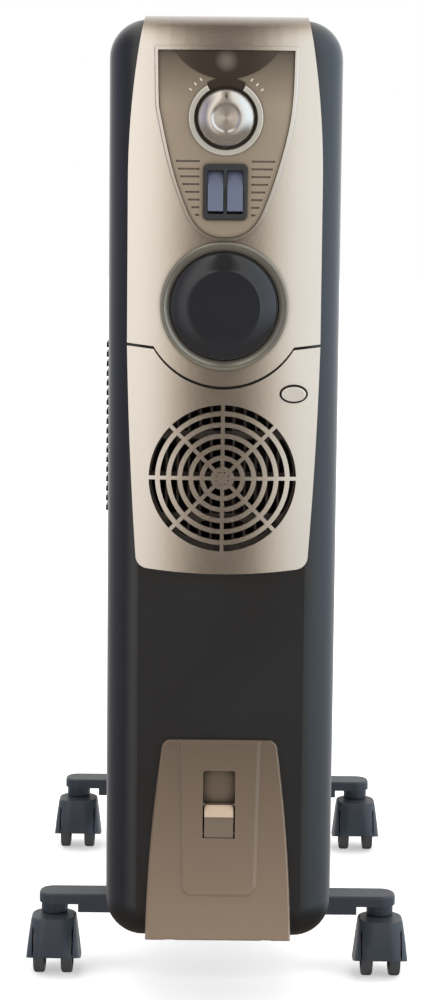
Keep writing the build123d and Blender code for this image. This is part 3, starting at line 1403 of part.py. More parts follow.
# ---------------------------------------------------------------- twin-wheel casters
stem_bottom = 24.0
hood_front = -(WHEEL_LEAD + WHEEL_R + 2.5)
hood_rear = WHEEL_R - WHEEL_LEAD + 3.5
well_gap = 0.7
axle_reach = HOOD_BOTTOM_W / 2 - 2.0
hood_depth = hood_rear - hood_front
hood_mid = (hood_rear + hood_front) / 2
crown_depth_y = 30.0
stems = []
for tag, side, bar_y in (
    ("front_left", -1, front_bar_y),
    ("front_right", 1, front_bar_y),
    ("rear_left", -1, rear_bar_y),
    ("rear_right", 1, rear_bar_y),
):
    cx = side * swivel_x
    axle_y = bar_y - WHEEL_LEAD
    with BuildPart() as stem:
        with BuildSketch(Plane.XY.offset(stem_bottom)):
            with Locations((cx, bar_y)):
                Circle(STEM_R)
        extrude(amount=stem_top - stem_bottom)
        chamfer(stem.edges().sort_by(Axis.Z)[0], 0.5)
    stems.append(stem.part)

    with BuildPart() as hood:
        with BuildSketch(Plane.XY.offset(HOOD_BOTTOM)):
            with Locations((cx, bar_y + hood_mid)):
                RectangleRounded(HOOD_BOTTOM_W, hood_depth, 11)
        with BuildSketch(Plane.XY.offset((HOOD_BOTTOM + HOOD_TOP) / 2)):
            with Locations((cx, bar_y + hood_mid)):
                RectangleRounded(HOOD_BOTTOM_W - 3.2, hood_depth - 2.5, 11)
        with BuildSketch(Plane.XY.offset(HOOD_TOP)):
            with Locations((cx, bar_y + hood_rear - crown_depth_y / 2 - 1.5)):
                RectangleRounded(HOOD_TOP_W, crown_depth_y, 11)
        loft()
        fillet(hood.faces().sort_by(Axis.Z)[-1].edges(), 2)
        with BuildSketch(Plane.YZ.offset(cx)):
            with BuildLine():
                Polyline(
                    (axle_y, HOOD_BOTTOM),
                    (axle_y - WHEEL_R - 3, HOOD_BOTTOM + HOOD_RIM_RISE),
                    (axle_y - WHEEL_R - 3, HOOD_BOTTOM - 1),
                    (axle_y, HOOD_BOTTOM - 1),
                    close=True,
                )
            make_face()
        extrude(amount=HOOD_BOTTOM_W, both=True, mode=Mode.SUBTRACT)
        for wheel_side in (-1, 1):
            with BuildSketch(Plane.YZ.offset(cx + wheel_side * WHEEL_X - WHEEL_W / 2 - well_gap)):
                with Locations((axle_y, WHEEL_R)):
                    Circle(WHEEL_R + well_gap)
                with Locations((axle_y, WHEEL_R / 2)):
                    Rectangle(2 * (WHEEL_R + well_gap), WHEEL_R)
            extrude(amount=WHEEL_W + 2 * well_gap, mode=Mode.SUBTRACT)
        with BuildSketch(Plane.XY.offset(stem_bottom - 0.5)):
            with Locations((cx, bar_y)):
                Circle(STEM_R + PIN_GAP)
        extrude(amount=HOOD_TOP, mode=Mode.SUBTRACT)
        with BuildSketch(Plane.YZ.offset(cx - axle_reach)):
            with Locations((axle_y, WHEEL_R)):
                Circle(AXLE_R)
        extrude(amount=2 * axle_reach, mode=Mode.SUBTRACT)
    save(hood.part, f"caster_hood_{tag}")

    with BuildPart() as axle:
        with BuildSketch(Plane.YZ.offset(cx - axle_reach)):
            with Locations((axle_y, WHEEL_R)):
                Circle(AXLE_R)
        extrude(amount=2 * axle_reach)
    save(axle.part, f"caster_axle_{tag}")

    for wheel_tag, wheel_side in (("left", -1), ("right", 1)):
        wheel_x = cx + wheel_side * WHEEL_X
        with BuildPart() as wheel:
            with BuildSketch(Plane.YZ.offset(wheel_x - WHEEL_W / 2)):
                with Locations((axle_y, WHEEL_R)):
                    Circle(WHEEL_R)
            extrude(amount=WHEEL_W)
            fillet(wheel.edges(), 1.8)
            for face_x, way in ((wheel_x - WHEEL_W / 2, 1), (wheel_x + WHEEL_W / 2, -1)):
                with BuildSketch(Plane.YZ.offset(face_x)):
                    with Locations((axle_y, WHEEL_R)):
                        Circle(WHEEL_R - 4)
                        Circle(AXLE_R + 3, mode=Mode.SUBTRACT)
                extrude(amount=way * 1.5, mode=Mode.SUBTRACT)
            with BuildSketch(Plane.YZ.offset(wheel_x - WHEEL_W / 2 - 1)):
                with Locations((axle_y, WHEEL_R)):
                    Circle(AXLE_R + PIN_GAP)
            extrude(amount=WHEEL_W + 2, mode=Mode.SUBTRACT)
        save(wheel.part, f"wheel_{tag}_{wheel_tag}")
save(Compound(children=stems), "caster_stems")
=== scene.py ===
"""Oil filled radiator heater: a control box with a fan heater, in front of a stack of fins.

Four twin-wheel casters carry it, on two bars under the fins.
"""
import math

import bmesh
import bpy
from mathutils import Euler, Matrix, Vector


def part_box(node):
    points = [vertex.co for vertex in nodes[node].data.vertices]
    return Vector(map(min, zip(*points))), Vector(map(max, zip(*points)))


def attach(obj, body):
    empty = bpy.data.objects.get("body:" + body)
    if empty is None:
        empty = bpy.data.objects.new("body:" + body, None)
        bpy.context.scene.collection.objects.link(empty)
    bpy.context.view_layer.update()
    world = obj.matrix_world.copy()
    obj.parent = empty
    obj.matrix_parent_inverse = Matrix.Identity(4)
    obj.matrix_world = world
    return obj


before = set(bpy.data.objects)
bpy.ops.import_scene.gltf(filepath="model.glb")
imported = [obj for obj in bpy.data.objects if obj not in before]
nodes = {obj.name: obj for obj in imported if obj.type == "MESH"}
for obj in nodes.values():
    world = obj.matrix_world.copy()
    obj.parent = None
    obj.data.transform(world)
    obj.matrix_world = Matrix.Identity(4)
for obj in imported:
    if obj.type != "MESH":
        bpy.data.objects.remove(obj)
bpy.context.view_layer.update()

# ---------------------------------------------------------------- studio
# Camera in front of the heater and a little above its middle, looking slightly down at it.
bar_low, bar_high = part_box("front_caster_bar")
front_bar_y = (bar_low.y + bar_high.y) / 2
axle_lead = 0.012
camera_x, camera_height, camera_distance = -0.0063, 0.5648, 1.744
tilt_down, roll = 0.1359, 0.0099
camera = bpy.data.objects.new("camera", bpy.data.cameras.new("camera"))
camera.data.lens = 94.9
camera.data.sensor_width = 36.0
camera.location = (camera_x, front_bar_y - axle_lead - camera_distance, camera_height)
look_down = Euler((math.pi / 2 - tilt_down, 0, 0)).to_matrix()
camera.rotation_euler = (look_down @ Matrix.Rotation(roll, 3, "Z")).to_euler()
bpy.context.scene.collection.objects.link(camera)
bpy.context.scene.camera = camera
bpy.context.scene.view_settings.view_transform = "Standard"


heater_middle = Vector((0, -0.2, 0.35))


def softbox(name, place, width, height, watts):
    """Large soft light aimed at the heater."""
    lamp = bpy.data.lights.new(name, "AREA")
    lamp.shape = "RECTANGLE"
    lamp.size = width
    lamp.size_y = height
    lamp.energy = watts
    holder = bpy.data.objects.new(name, lamp)
    holder.location = place
    holder.rotation_euler = (heater_middle - Vector(place)).to_track_quat("-Z", "Y").to_euler()
    holder.visible_glossy = False
    bpy.context.scene.collection.objects.link(holder)


softbox("left_softbox", (-1.7, -1.3, 0.9), 1.0, 1.9, 9)
softbox("right_softbox", (1.7, -1.3, 0.9), 1.0, 1.9, 12)
softbox("top_softbox", (0.0, -0.5, 1.9), 1.6, 0.9, 9)
softbox("rear_softbox", (0.6, 2.0, 1.6), 1.6, 1.2, 8)


def math_node(tree, kind, a, b=None, c=None, clamp=False):
    """Math node whose inputs are numbers or other nodes' outputs."""
    node = tree.nodes.new("ShaderNodeMath")
    node.operation = kind
    node.use_clamp = clamp
    for index, value in enumerate((a, b, c)):
        if value is None:
            continue
        if isinstance(value, (int, float)):
            node.inputs[index].default_value = value
        else:
            tree.links.new(value, node.inputs[index])
    return node.outputs[0]


def mix_colours(tree, amount, under, over):
    """Colour mix by a number, a mask or another node's output; each colour is a triple or an output."""
    node = tree.nodes.new("ShaderNodeMix")
    node.data_type = "RGBA"
    for socket, value in (("Factor", amount), ("A", under), ("B", over)):
        if isinstance(value, tuple):
            node.inputs[socket].default_value = (*value, 1)
        elif isinstance(value, (int, float)):
            node.inputs[socket].default_value = value
        else:
            tree.links.new(value, node.inputs[socket])
    return node.outputs["Result"]


# What the surfaces mirror changes from side to side: dim and warm straight ahead, bright on both
# sides of that, then dim and bluish to the far left and bright and bluish to the far right. It
# fades to white behind the heater and to a dim brown below it. The fill light and the backdrop
# are plain white.
world = bpy.data.worlds.new("studio")
bpy.context.scene.world = world
world.use_nodes = True
world.cycles.sampling_method = "NONE"
sky = world.node_tree
towards = sky.nodes.new("ShaderNodeTexCoord")
axes = sky.nodes.new("ShaderNodeSeparateXYZ")
sky.links.new(towards.outputs["Generated"], axes.inputs[0])
across = sky.nodes.new("ShaderNodeValToRGB")
sky.links.new(math_node(sky, "MULTIPLY_ADD", axes.outputs["X"], 0.5, 0.5), across.inputs["Fac"])
walls = [
    (-1.00, (0.34, 0.34, 0.48)),
    (-0.75, (0.16, 0.16, 0.24)),
    (-0.50, (0.60, 0.60, 0.60)),
    (-0.34, (1.00, 0.985, 0.97)),
    (-0.21, (1.00, 0.975, 0.94)),
    (-0.15, (0.48, 0.40, 0.30)),
    (-0.09, (0.045, 0.022, 0.006)),
    (0.085, (0.040, 0.020, 0.005)),
    (0.14, (0.42, 0.36, 0.27)),
    (0.21, (0.90, 0.90, 0.88)),
    (0.40, (0.82, 0.88, 0.92)),
    (0.60, (0.90, 1.06, 1.22)),
    (1.00, (0.95, 1.15, 1.36)),
]
for index, (place, colour) in enumerate(walls):
    stop = across.color_ramp.elements[index] if index < 2 else across.color_ramp.elements.new(1)
    stop.position = 0.5 + place / 2
    stop.color = (*colour, 1)
behind = math_node(sky, "MULTIPLY_ADD", axes.outputs["Y"], 0.75, 0.02, clamp=True)
below = math_node(sky, "MULTIPLY_ADD", axes.outputs["Z"], -2.5, -0.2, clamp=True)
level = mix_colours(sky, behind, across.outputs["Color"], (1.0, 1.0, 1.0))
mirrored = sky.nodes["Background"]
mirrored.inputs["Strength"].default_value = 1.1
sky.links.new(mix_colours(sky, below, level, (0.11, 0.09, 0.07)), mirrored.inputs["Color"])
white = sky.nodes.new("ShaderNodeBackground")
white.inputs["Color"].default_value = (1, 1, 1, 1)
ray = sky.nodes.new("ShaderNodeLightPath")
either = sky.nodes.new("ShaderNodeMixShader")
sky.links.new(
    math_node(sky, "MAXIMUM", ray.outputs["Is Camera Ray"], ray.outputs["Is Diffuse Ray"]),
    either.inputs["Fac"],
)
sky.links.new(mirrored.outputs["Background"], either.inputs[1])
sky.links.new(white.outputs["Background"], either.inputs[2])
sky.links.new(either.outputs["Shader"], sky.nodes["World Output"].inputs["Surface"])

# Pale floor, which starts a little ahead of the heater.
floor_mesh = bpy.data.meshes.new("floor")
floor_front, floor_reach = -0.75, 9.0
floor_mesh.from_pydata(
    [
        (-floor_reach, floor_front, 0),
        (floor_reach, floor_front, 0),
        (floor_reach, floor_reach, 0),
        (-floor_reach, floor_reach, 0),
    ],
    [],
    [(0, 1, 2, 3)],
)
floor = bpy.data.objects.new("floor", floor_mesh)
bpy.context.scene.collection.objects.link(floor)
floor_paint = bpy.data.materials.new("floor paint")
floor_paint.use_nodes = True
floor_shader = floor_paint.node_tree.nodes["Principled BSDF"]
floor_shader.inputs["Base Color"].default_value = (0.96, 0.96, 0.96, 1)
floor_shader.inputs["Roughness"].default_value = 0.7
floor_shader.inputs["Specular IOR Level"].default_value = 0.0
floor_shader.inputs["Emission Color"].default_value = (1, 1, 1, 1)
floor_shader.inputs["Emission Strength"].default_value = 0.45
floor_mesh.materials.append(floor_paint)
floor.visible_glossy = False

# ---------------------------------------------------------------- radiator fins
# The oil vessel: pressed sheet halves seam-welded at the rim, their hubs welded end to end,
# and the whole stack enamelled in a charcoal gloss that runs slightly in an orange peel.


def new_group(name, inputs, outputs):
    """Empty shader node group with named number inputs and named outputs."""
    group = bpy.data.node_groups.new(name, "ShaderNodeTree")
    for label, value in inputs.items():
        socket = group.interface.new_socket(label, in_out="INPUT", socket_type="NodeSocketFloat")
        socket.default_value = value
    for label in outputs:
        group.interface.new_socket(label, in_out="OUTPUT", socket_type="NodeSocketFloat")
    return group, group.nodes.new("NodeGroupInput"), group.nodes.new("NodeGroupOutput")


# Fine surface relief: a mould's spark texture or an enamel's orange peel, by its size.
surface_grain, grain_in, grain_out = new_group(
    "surface grain", {"Bumps per metre": 900.0, "Softness": 0.5}, ["Relief", "Mottle"]
)
place = surface_grain.nodes.new("ShaderNodeTexCoord")
fine = surface_grain.nodes.new("ShaderNodeTexNoise")
fine.inputs["Detail"].default_value = 3.0
surface_grain.links.new(place.outputs["Object"], fine.inputs["Vector"])
surface_grain.links.new(grain_in.outputs["Bumps per metre"], fine.inputs["Scale"])
surface_grain.links.new(grain_in.outputs["Softness"], fine.inputs["Roughness"])
broad = surface_grain.nodes.new("ShaderNodeTexNoise")
broad.inputs["Scale"].default_value = 14.0
broad.inputs["Detail"].default_value = 5.0
surface_grain.links.new(place.outputs["Object"], broad.inputs["Vector"])
surface_grain.links.new(fine.outputs["Fac"], grain_out.inputs["Relief"])
surface_grain.links.new(broad.outputs["Fac"], grain_out.inputs["Mottle"])

# Where an outside edge is rubbed paler, found from how far a small bevel would turn the surface.
rubbed_edge, rub_in, rub_out = new_group("rubbed edge", {"Width": 0.0008, "Patchiness": 0.5}, ["Rub"])
bevel = rubbed_edge.nodes.new("ShaderNodeBevel")
bevel.samples = 4
rubbed_edge.links.new(rub_in.outputs["Width"], bevel.inputs["Radius"])
plain = rubbed_edge.nodes.new("ShaderNodeNewGeometry")
agree = rubbed_edge.nodes.new("ShaderNodeVectorMath")
agree.operation = "DOT_PRODUCT"
rubbed_edge.links.new(bevel.outputs["Normal"], agree.inputs[0])
rubbed_edge.links.new(plain.outputs["Normal"], agree.inputs[1])
turned_away = math_node(rubbed_edge, "SUBTRACT", 1.0, agree.outputs["Value"], clamp=True)
sharper = math_node(rubbed_edge, "MULTIPLY", turned_away, 6.0, clamp=True)
rub_place = rubbed_edge.nodes.new("ShaderNodeTexCoord")
patches = rubbed_edge.nodes.new("ShaderNodeTexNoise")
patches.inputs["Scale"].default_value = 55.0
patches.inputs["Detail"].default_value = 4.0
rubbed_edge.links.new(rub_place.outputs["Object"], patches.inputs["Vector"])
uneven = math_node(rubbed_edge, "MULTIPLY_ADD", patches.outputs["Fac"], 1.6, -0.3, clamp=True)
patchy = math_node(rubbed_edge, "MULTIPLY", uneven, rub_in.outputs["Patchiness"])
even = math_node(rubbed_edge, "SUBTRACT", 1.0, rub_in.outputs["Patchiness"])
rubbed_edge.links.new(
    math_node(rubbed_edge, "MULTIPLY", sharper, math_node(rubbed_edge, "ADD", patchy, even)),
    rub_out.inputs["Rub"],
)

# Dust that has settled on what faces up, thicker in patches.
settled_dust, dust_in, dust_out = new_group("settled dust", {"Amount": 0.2}, ["Dust"])
facing = settled_dust.nodes.new("ShaderNodeNewGeometry")
split = settled_dust.nodes.new("ShaderNodeSeparateXYZ")
settled_dust.links.new(facing.outputs["Normal"], split.inputs[0])
upward = math_node(settled_dust, "MULTIPLY_ADD", split.outputs["Z"], 1.6, -0.5, clamp=True)
dust_place = settled_dust.nodes.new("ShaderNodeTexCoord")
drifts = settled_dust.nodes.new("ShaderNodeTexNoise")
drifts.inputs["Scale"].default_value = 38.0
drifts.inputs["Detail"].default_value = 6.0
settled_dust.links.new(dust_place.outputs["Object"], drifts.inputs["Vector"])
thick = math_node(settled_dust, "MULTIPLY", upward, drifts.outputs["Fac"])
settled_dust.links.new(
    math_node(settled_dust, "MULTIPLY", thick, dust_in.outputs["Amount"], clamp=True),
    dust_out.inputs["Dust"],
)


# Painted shade: how far a spot is tucked into a seam, groove or corner, where the colour is darkened as if
# shadowed.
painted_recess_shade, shade_in, shade_out = new_group("painted recess shade", {"Reach": 0.004}, ["Shelter"])
opening = painted_recess_shade.nodes.new("ShaderNodeAmbientOcclusion")
opening.samples = 6
painted_recess_shade.links.new(shade_in.outputs["Reach"], opening.inputs["Distance"])
painted_recess_shade.links.new(
    math_node(painted_recess_shade, "MULTIPLY_ADD", opening.outputs["AO"], -1.7, 1.45, clamp=True),
    shade_out.inputs["Shelter"],
)


def add_group(material, group, **settings):
    """One of the shared effects placed in a material with its own values."""
    node = material.node_tree.nodes.new("ShaderNodeGroup")
    node.node_tree = group
    for label, value in settings.items():
        node.inputs[label.replace("_", " ")].default_value = value
    return node


def weathered_and_shaded(material, colour, rub, rub_width, rub_colour, dust, recess_shade, shade_reach):
    """A colour with its edges rubbed paler, painted shade darkening its recesses and dust on top."""
    tree = material.node_tree
    worn = add_group(material, rubbed_edge, Width=rub_width)
    colour = mix_colours(tree, math_node(tree, "MULTIPLY", worn.outputs["Rub"], rub), colour, rub_colour)
    # Painted shade: spots tucked into recesses are darkened towards near black.
    recess_shaded = add_group(material, painted_recess_shade, Reach=shade_reach)
    colour = mix_colours(
        tree, math_node(tree, "MULTIPLY", recess_shaded.outputs["Shelter"], recess_shade), colour, (0.012, 0.010, 0.009)
    )
    dusty = add_group(material, settled_dust, Amount=dust)
    return mix_colours(tree, dusty.outputs["Dust"], colour, (0.45, 0.43, 0.40))


def relief_bump(material, height, distance):
    """Fine relief on a material's own shader."""
    bump = material.node_tree.nodes.new("ShaderNodeBump")
    bump.inputs["Distance"].default_value = distance
    material.node_tree.links.new(height, bump.inputs["Height"])
    shader = material.node_tree.nodes["Principled BSDF"]
    material.node_tree.links.new(bump.outputs["Normal"], shader.inputs["Normal"])


def coated(
    name, colour, shade, rough, rough_spread=0.06, grain=900.0, relief=0.00002, rub=0.25,
    rub_width=0.0008, dust=0.15, recess_shade=0.5, coat=0.0, coat_rough=0.1, specular=0.5,
):
    """Moulded, painted or enamelled finish: mottled, with worn edges, painted shade in its recesses, dust
    and a fine relief.
    """
    material = bpy.data.materials.new(name)
    material.use_nodes = True
    tree = material.node_tree
    shader = tree.nodes["Principled BSDF"]
    shader.inputs["Coat Weight"].default_value = coat
    shader.inputs["Coat Roughness"].default_value = coat_rough
    shader.inputs["Specular IOR Level"].default_value = specular
    surface = add_group(material, surface_grain, Bumps_per_metre=grain)
    rubbed = tuple(min(1, c * 1.9 + 0.03) for c in colour)
    mottled = mix_colours(tree, surface.outputs["Mottle"], colour, shade)
    # How far the painted recess shade reaches.
    shade_reach = 0.004
    tree.links.new(
        weathered_and_shaded(material, mottled, rub, rub_width, rubbed, dust, recess_shade, shade_reach),
        shader.inputs["Base Color"],
    )
    tree.links.new(
        math_node(tree, "MULTIPLY_ADD", surface.outputs["Mottle"], 2 * rough_spread, rough - rough_spread),
        shader.inputs["Roughness"],
    )
    relief_bump(material, surface.outputs["Relief"], relief)
    return material


def finish(material, *names):
    """Gives CAD nodes a finish."""
    for name in names:
        mesh = nodes[name].data
        mesh.materials.clear()
        mesh.materials.append(material)


enamel = coated(
    "charcoal enamel", (0.014, 0.015, 0.018), (0.022, 0.023, 0.028), 0.30, grain=260.0,
    relief=0.00012, rub=0.35, dust=0.12, coat=0.4, coat_rough=0.18,
)
finish(enamel, "radiator_fins", "vessel_end_caps")

# ---------------------------------------------------------------- caster bars and U-bolts
# Moulded nylon channels, each held up against the fins by a bent rod that goes over the lower
# hubs and is drawn down with two wing nuts.
bar_nylon = coated(
    "blue charcoal nylon", (0.019, 0.026, 0.036), (0.027, 0.035, 0.047), 0.40, grain=1500.0,
    relief=0.00003, rub=0.3, dust=0.1,
)
finish(bar_nylon, "front_caster_bar", "rear_caster_bar")


def bare_metal(name, colour, rough, lay_scale):
    """Plated or drawn metal, with fine lines that run level."""
    material = bpy.data.materials.new(name)
    material.use_nodes = True
    tree = material.node_tree
    shader = tree.nodes["Principled BSDF"]
    shader.inputs["Metallic"].default_value = 1.0
    place = tree.nodes.new("ShaderNodeTexCoord")
    stretch = tree.nodes.new("ShaderNodeMapping")
    stretch.inputs["Scale"].default_value = (1, 1, 12)
    tree.links.new(place.outputs["Object"], stretch.inputs["Vector"])
    lines = tree.nodes.new("ShaderNodeTexNoise")
    lines.inputs["Scale"].default_value = lay_scale
    lines.inputs["Detail"].default_value = 4.0
    tree.links.new(stretch.outputs["Vector"], lines.inputs["Vector"])
    dull = tuple(c * 0.78 for c in colour)
    tree.links.new(mix_colours(tree, lines.outputs["Fac"], dull, colour), shader.inputs["Base Color"])
    tree.links.new(
        math_node(tree, "MULTIPLY_ADD", lines.outputs["Fac"], 0.22, rough), shader.inputs["Roughness"]
    )
    relief_bump(material, lines.outputs["Fac"], 0.00002)
    return material


zinc = bare_metal("zinc plate", (0.62, 0.62, 0.60), 0.22, 180.0)
finish(zinc, "u_bolts", "wing_nuts", "mount_nut", "cover_screws", "hinge_pins", "heating_element")

# ---------------------------------------------------------------- casters
# Twin-wheel furniture casters: a nylon hood that swivels on a steel stem and carries a steel
# axle with a hard wheel on each side of it.
wheel_nylon = coated(
    "black nylon tread", (0.034, 0.035, 0.038), (0.050, 0.051, 0.055), 0.5, grain=900.0,
    relief=0.00004, rub=0.5, rub_width=0.0012, dust=0.08,
)
for corner in ("front_left", "front_right", "rear_left", "rear_right"):
    finish(bar_nylon, f"caster_hood_{corner}")
    finish(zinc, f"caster_axle_{corner}")
    finish(wheel_nylon, f"wheel_{corner}_left", f"wheel_{corner}_right")
finish(zinc, "caster_stems")

# ---------------------------------------------------------------- control box covers
# Two deep mouldings in charcoal plastic that meet at a seam round the box's sides. A nut on the
# stud of the first fin's upper hub holds the rear one, and four screws from behind draw the
# front one on to it.
housing = coated(
    "charcoal moulding", (0.0052, 0.0055, 0.0063), (0.0080, 0.0084, 0.0098), 0.30, grain=2200.0,
    relief=0.000012, rub=0.15, dust=0.06, coat=0.3, coat_rough=0.25, specular=0.75,
)
finish(housing, "front_cover", "rear_cover")
dark_moulding = coated(
    "plain dark moulding", (0.020, 0.020, 0.022), (0.030, 0.030, 0.032), 0.5, grain=1600.0,
    relief=0.00004, rub=0.2,
)
finish(dark_moulding, "cord_gland", "cord_tray", "fan_shroud", "fan_impeller", "switch_frame")
electrical = coated(
    "heat resistant moulding", (0.55, 0.50, 0.42), (0.62, 0.57, 0.49), 0.5, grain=700.0,
    relief=0.00004, rub=0.1,
)
finish(
    electrical, "thermostat", "switch_body", "timer_movement", "fan_switch", "tip_switch",
    "terminal_block", "thermal_cutout",
)

# ---------------------------------------------------------------- cord compartment
# A bronze painted door hinged along its foot, over a moulded tray for the cord. A sprung
# tongue with a finger hole above it holds the door shut.


def metallic_paint(
    name, colour, deep, rough, metallic=0.9, rub=0.2, recess_shade=0.75, shade_reach=0.004, painted_light_by_height=None,
):
    """Metallic lacquer on plastic: tiny flakes that glint apart, under a clear coat.

    Its colour may be painted lighter or darker over a range of heights, as painted light and shade: (low,
    high, colour factor).
    """
    material = bpy.data.materials.new(name)
    material.use_nodes = True
    tree = material.node_tree
    shader = tree.nodes["Principled BSDF"]
    shader.inputs["Coat Weight"].default_value = 0.25
    shader.inputs["Coat Roughness"].default_value = 0.1
    place = tree.nodes.new("ShaderNodeTexCoord")
    flakes = tree.nodes.new("ShaderNodeTexVoronoi")
    flakes.inputs["Scale"].default_value = 2600.0
    tree.links.new(place.outputs["Object"], flakes.inputs["Vector"])
    each = tree.nodes.new("ShaderNodeSeparateColor")
    tree.links.new(flakes.outputs["Color"], each.inputs["Color"])
    surface = add_group(material, surface_grain, Bumps_per_metre=420.0)
    flake_contrast = 0.12
    spread = math_node(
        tree, "MULTIPLY_ADD", each.outputs["Red"], flake_contrast, 0.5 - flake_contrast / 2
    )
    amount = math_node(tree, "MULTIPLY_ADD", surface.outputs["Mottle"], 0.35, spread, clamp=True)
    painted = mix_colours(tree, amount, deep, colour)
    # Painted light and shade: between the low and high heights the colour turns to the deep tone times the
    # factor.
    if painted_light_by_height:
        low, high, factor = painted_light_by_height
        height = tree.nodes.new("ShaderNodeSeparateXYZ")
        tree.links.new(place.outputs["Object"], height.inputs[0])
        rise = 1 / (high - low)
        painted_light_mask = math_node(tree, "MULTIPLY_ADD", height.outputs["Z"], rise, -low * rise, clamp=True)
        painted = mix_colours(tree, painted_light_mask, painted, tuple(c * factor for c in deep))
    rubbed = tuple(min(1, c * 1.3 + 0.03) for c in colour)
    rub_width, dust = 0.0007, 0.05
    tree.links.new(
        weathered_and_shaded(material, painted, rub, rub_width, rubbed, dust, recess_shade, shade_reach),
        shader.inputs["Base Color"],
    )
    tree.links.new(
        math_node(tree, "MULTIPLY_ADD", each.outputs["Green"], 0.1, metallic - 0.05, clamp=True),
        shader.inputs["Metallic"],
    )
    tree.links.new(
        math_node(tree, "MULTIPLY_ADD", surface.outputs["Mottle"], 0.08, rough - 0.04),
        shader.inputs["Roughness"],
    )
    relief_bump(material, surface.outputs["Relief"], 0.00001)
    return material


door_low, door_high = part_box("cord_door")
# Painted shade: the door's colour darkens towards its top, to half its deep tone.
bronze = metallic_paint(
    "bronze lacquer", (0.33, 0.245, 0.178), (0.27, 0.20, 0.145), 0.34, metallic=0.5, rub=0.5,
    recess_shade=0.92, shade_reach=0.007, painted_light_by_height=(door_low.z, door_high.z + 0.02, 0.50),
)
finish(bronze, "cord_door")
# Painted highlight: the ledge along the latch's top is painted much paler, where it faces up to the light.
latch_low, latch_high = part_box("door_latch")
ledge_depth, ledge_fade = 0.0068, 0.0006
ledge_z = latch_high.z - ledge_depth
ledge_lit_bronze = metallic_paint(
    "bronze lacquer with painted ledge highlight", (0.20, 0.152, 0.112), (0.18, 0.140, 0.105), 0.34, metallic=0.4, rub=0.5,
    recess_shade=0.92, painted_light_by_height=(ledge_z - ledge_fade, ledge_z, 3.4),
)
finish(ledge_lit_bronze, "door_latch")

# ---------------------------------------------------------------- fan heater and its panel
# Behind a round grille in the lower panel a ducted fan blows through a finned ceramic
# element. An oval push button beside the grille starts it.
champagne = metallic_paint(
    "champagne lacquer", (0.88, 0.815, 0.745), (0.79, 0.72, 0.64), 0.19, metallic=0.96, rub=0.15
)
finish(champagne, "lower_panel", "upper_panel")
button_paint = metallic_paint(
    "push button lacquer", (0.66, 0.61, 0.55), (0.56, 0.51, 0.45), 0.28, metallic=0.35, rub=0.4
)
finish(button_paint, "fan_button")
element_metal = bare_metal("finned aluminium", (0.20, 0.17, 0.15), 0.40, 300.0)
finish(element_metal, "ptc_element")
finish(zinc, "fan_motor", "tip_pendulum")

# ---------------------------------------------------------------- control inset
# The sunk tongue-shaped field under the controls, moulded apart and lacquered a shade paler
# than the cord door, with fine grooves on either side of the switches.
inset_low, inset_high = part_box("control_inset")
shaded_band = 0.034
# Painted shade: the inset's colour darkens over its top band, to 0.35 of its deep tone.
pale_bronze = metallic_paint(
    "pale bronze lacquer", (0.40, 0.325, 0.245), (0.32, 0.255, 0.185), 0.34, metallic=0.5, rub=0.5,
    recess_shade=0.95, painted_light_by_height=(inset_high.z - shaded_band, inset_high.z, 0.35),
)
finish(pale_bronze, "control_inset")

# ---------------------------------------------------------------- indicator and thermostat
# A smoked lens over an amber lamp, and a satin knob on the thermostat's spindle with a
# metallised ring round it.
smoke = coated(
    "smoked lens", (0.032, 0.024, 0.018), (0.042, 0.032, 0.025), 0.14, rough_spread=0.03,
    grain=300.0, relief=0.000005, rub=0.2, dust=0.05, coat=0.8, coat_rough=0.05,
)
finish(smoke, "indicator_lens")
# Painted light: the lamp's glow through the smoke is painted on the lens as a soft pale spot.
lamp_low, lamp_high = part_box("indicator_lamp")
lamp_middle = (lamp_low + lamp_high) / 2
smoke_tree = smoke.node_tree
lens_place = smoke_tree.nodes.new("ShaderNodeTexCoord")
from_lamp = smoke_tree.nodes.new("ShaderNodeVectorMath")
from_lamp.operation = "SUBTRACT"
from_lamp.inputs[1].default_value = lamp_middle
smoke_tree.links.new(lens_place.outputs["Object"], from_lamp.inputs[0])
flat_offset = smoke_tree.nodes.new("ShaderNodeVectorMath")
flat_offset.operation = "MULTIPLY"
flat_offset.inputs[1].default_value = (1, 0, 1)
smoke_tree.links.new(from_lamp.outputs["Vector"], flat_offset.inputs[0])
how_far = smoke_tree.nodes.new("ShaderNodeVectorMath")
how_far.operation = "LENGTH"
smoke_tree.links.new(flat_offset.outputs["Vector"], how_far.inputs[0])
spot_radius, spot_middle = 0.0075, 1.3
spot = math_node(
    smoke_tree, "MULTIPLY_ADD", how_far.outputs["Value"], -spot_middle / spot_radius, spot_middle,
    clamp=True,
)
smoke_shader = smoke_tree.nodes["Principled BSDF"]
smoke_colour = smoke_shader.inputs["Base Color"].links[0].from_socket
smoke_tree.links.new(
    mix_colours(smoke_tree, spot, smoke_colour, (0.13, 0.11, 0.092)),
    smoke_shader.inputs["Base Color"],
)
lamp_glass = bpy.data.materials.new("lamp glass")
lamp_glass.use_nodes = True
lamp_tree = lamp_glass.node_tree
lamp_shader = lamp_tree.nodes["Principled BSDF"]
lamp_shader.inputs["Roughness"].default_value = 0.15
lamp_grain = add_group(lamp_glass, surface_grain, Bumps_per_metre=200.0)
lamp_tree.links.new(
    mix_colours(lamp_tree, lamp_grain.outputs["Mottle"], (0.75, 0.32, 0.12), (0.9, 0.5, 0.22)),
    lamp_shader.inputs["Base Color"],
)
finish(lamp_glass, "indicator_lamp")
silver = metallic_paint(
    "satin silver", (0.78, 0.72, 0.65), (0.66, 0.60, 0.53), 0.22, metallic=0.88, rub=0.2
)
finish(silver, "thermostat_knob")
ring_silver = metallic_paint(
    "pale silver ring", (0.62, 0.58, 0.51), (0.52, 0.48, 0.42), 0.25, metallic=0.35, rub=0.5
)
finish(ring_silver, "knob_ring")

# Short printed marks on either side of the lens's neck, that the knob's pointer is set against.
knob_low, knob_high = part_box("thermostat_knob")
knob_z = (knob_low.z + knob_high.z) / 2
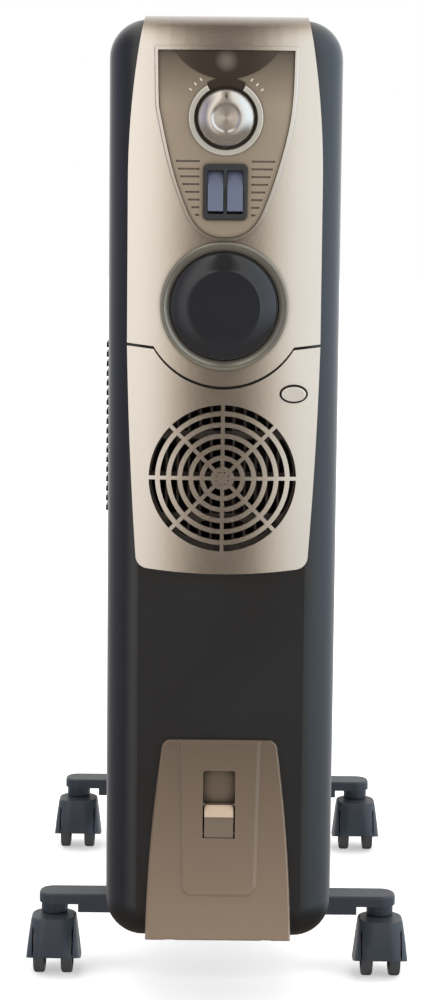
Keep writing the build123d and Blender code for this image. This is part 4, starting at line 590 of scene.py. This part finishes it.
# The inset's face is crowned from side to side, so each mark is set back to lie on it.
crown_radius = 0.452
mark_in, mark_out, mark_half_width, mark_stand = 0.0268, 0.0288, 0.00045, 0.00012
marks = bmesh.new()
for turn in (-52, -43, -34, 34, 43, 52):
    lean = math.radians(turn)
    along = Vector((math.sin(lean), 0, math.cos(lean)))
    aside = Vector((math.cos(lean), 0, -math.sin(lean)))
    rings = []
    for lift in (-mark_stand, mark_stand):
        ring = []
        for out, side in ((mark_in, -1), (mark_out, -1), (mark_out, 1), (mark_in, 1)):
            spot_on = along * out + aside * (side * mark_half_width)
            sag = crown_radius - math.sqrt(crown_radius**2 - spot_on.x**2)
            ring.append(marks.verts.new((spot_on.x, inset_low.y + sag - lift, knob_z + spot_on.z)))
        rings.append(ring)
    back, front = rings
    marks.faces.new(front)
    marks.faces.new(back[::-1])
    for i in range(4):
        marks.faces.new((back[i], back[(i + 1) % 4], front[(i + 1) % 4], front[i]))
bmesh.ops.recalc_face_normals(marks, faces=marks.faces)
marks_mesh = bpy.data.meshes.new("setting_marks")
marks.to_mesh(marks_mesh)
marks.free()
setting_marks = bpy.data.objects.new("setting_marks", marks_mesh)
bpy.context.scene.collection.objects.link(setting_marks)
ink = coated(
    "pale ink", (0.62, 0.58, 0.52), (0.52, 0.48, 0.42), 0.5, grain=3000.0, relief=0.000006,
    rub=0.0, dust=0.05, recess_shade=0.1,
)
marks_mesh.materials.append(ink)
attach(setting_marks, "frame")
finish(zinc, "thermostat_spindle")

# ---------------------------------------------------------------- rocker switches
# Twin blue grey rockers in a black frame, each held pressed in at the top.
rocker_plastic = coated(
    "blue grey rocker", (0.105, 0.120, 0.175), (0.135, 0.152, 0.215), 0.2, rough_spread=0.04,
    grain=700.0, relief=0.00001, rub=0.3, dust=0.05, coat=0.5, coat_rough=0.08,
)
finish(rocker_plastic, "rocker_left", "rocker_right")

# ---------------------------------------------------------------- timer
# A polished black dial turned inside a bronze metallised ring.
dial_black = coated(
    "polished black", (0.014, 0.014, 0.016), (0.020, 0.020, 0.023), 0.14, rough_spread=0.03,
    grain=180.0, relief=0.000006, rub=0.15, dust=0.02, coat=0.35, coat_rough=0.04, specular=0.4,
)
finish(dial_black, "timer_dial")
ring_metal = metallic_paint(
    "bronze ring", (0.30, 0.275, 0.225), (0.23, 0.21, 0.17), 0.26, metallic=0.6, rub=0.3
)
finish(ring_metal, "timer_ring")
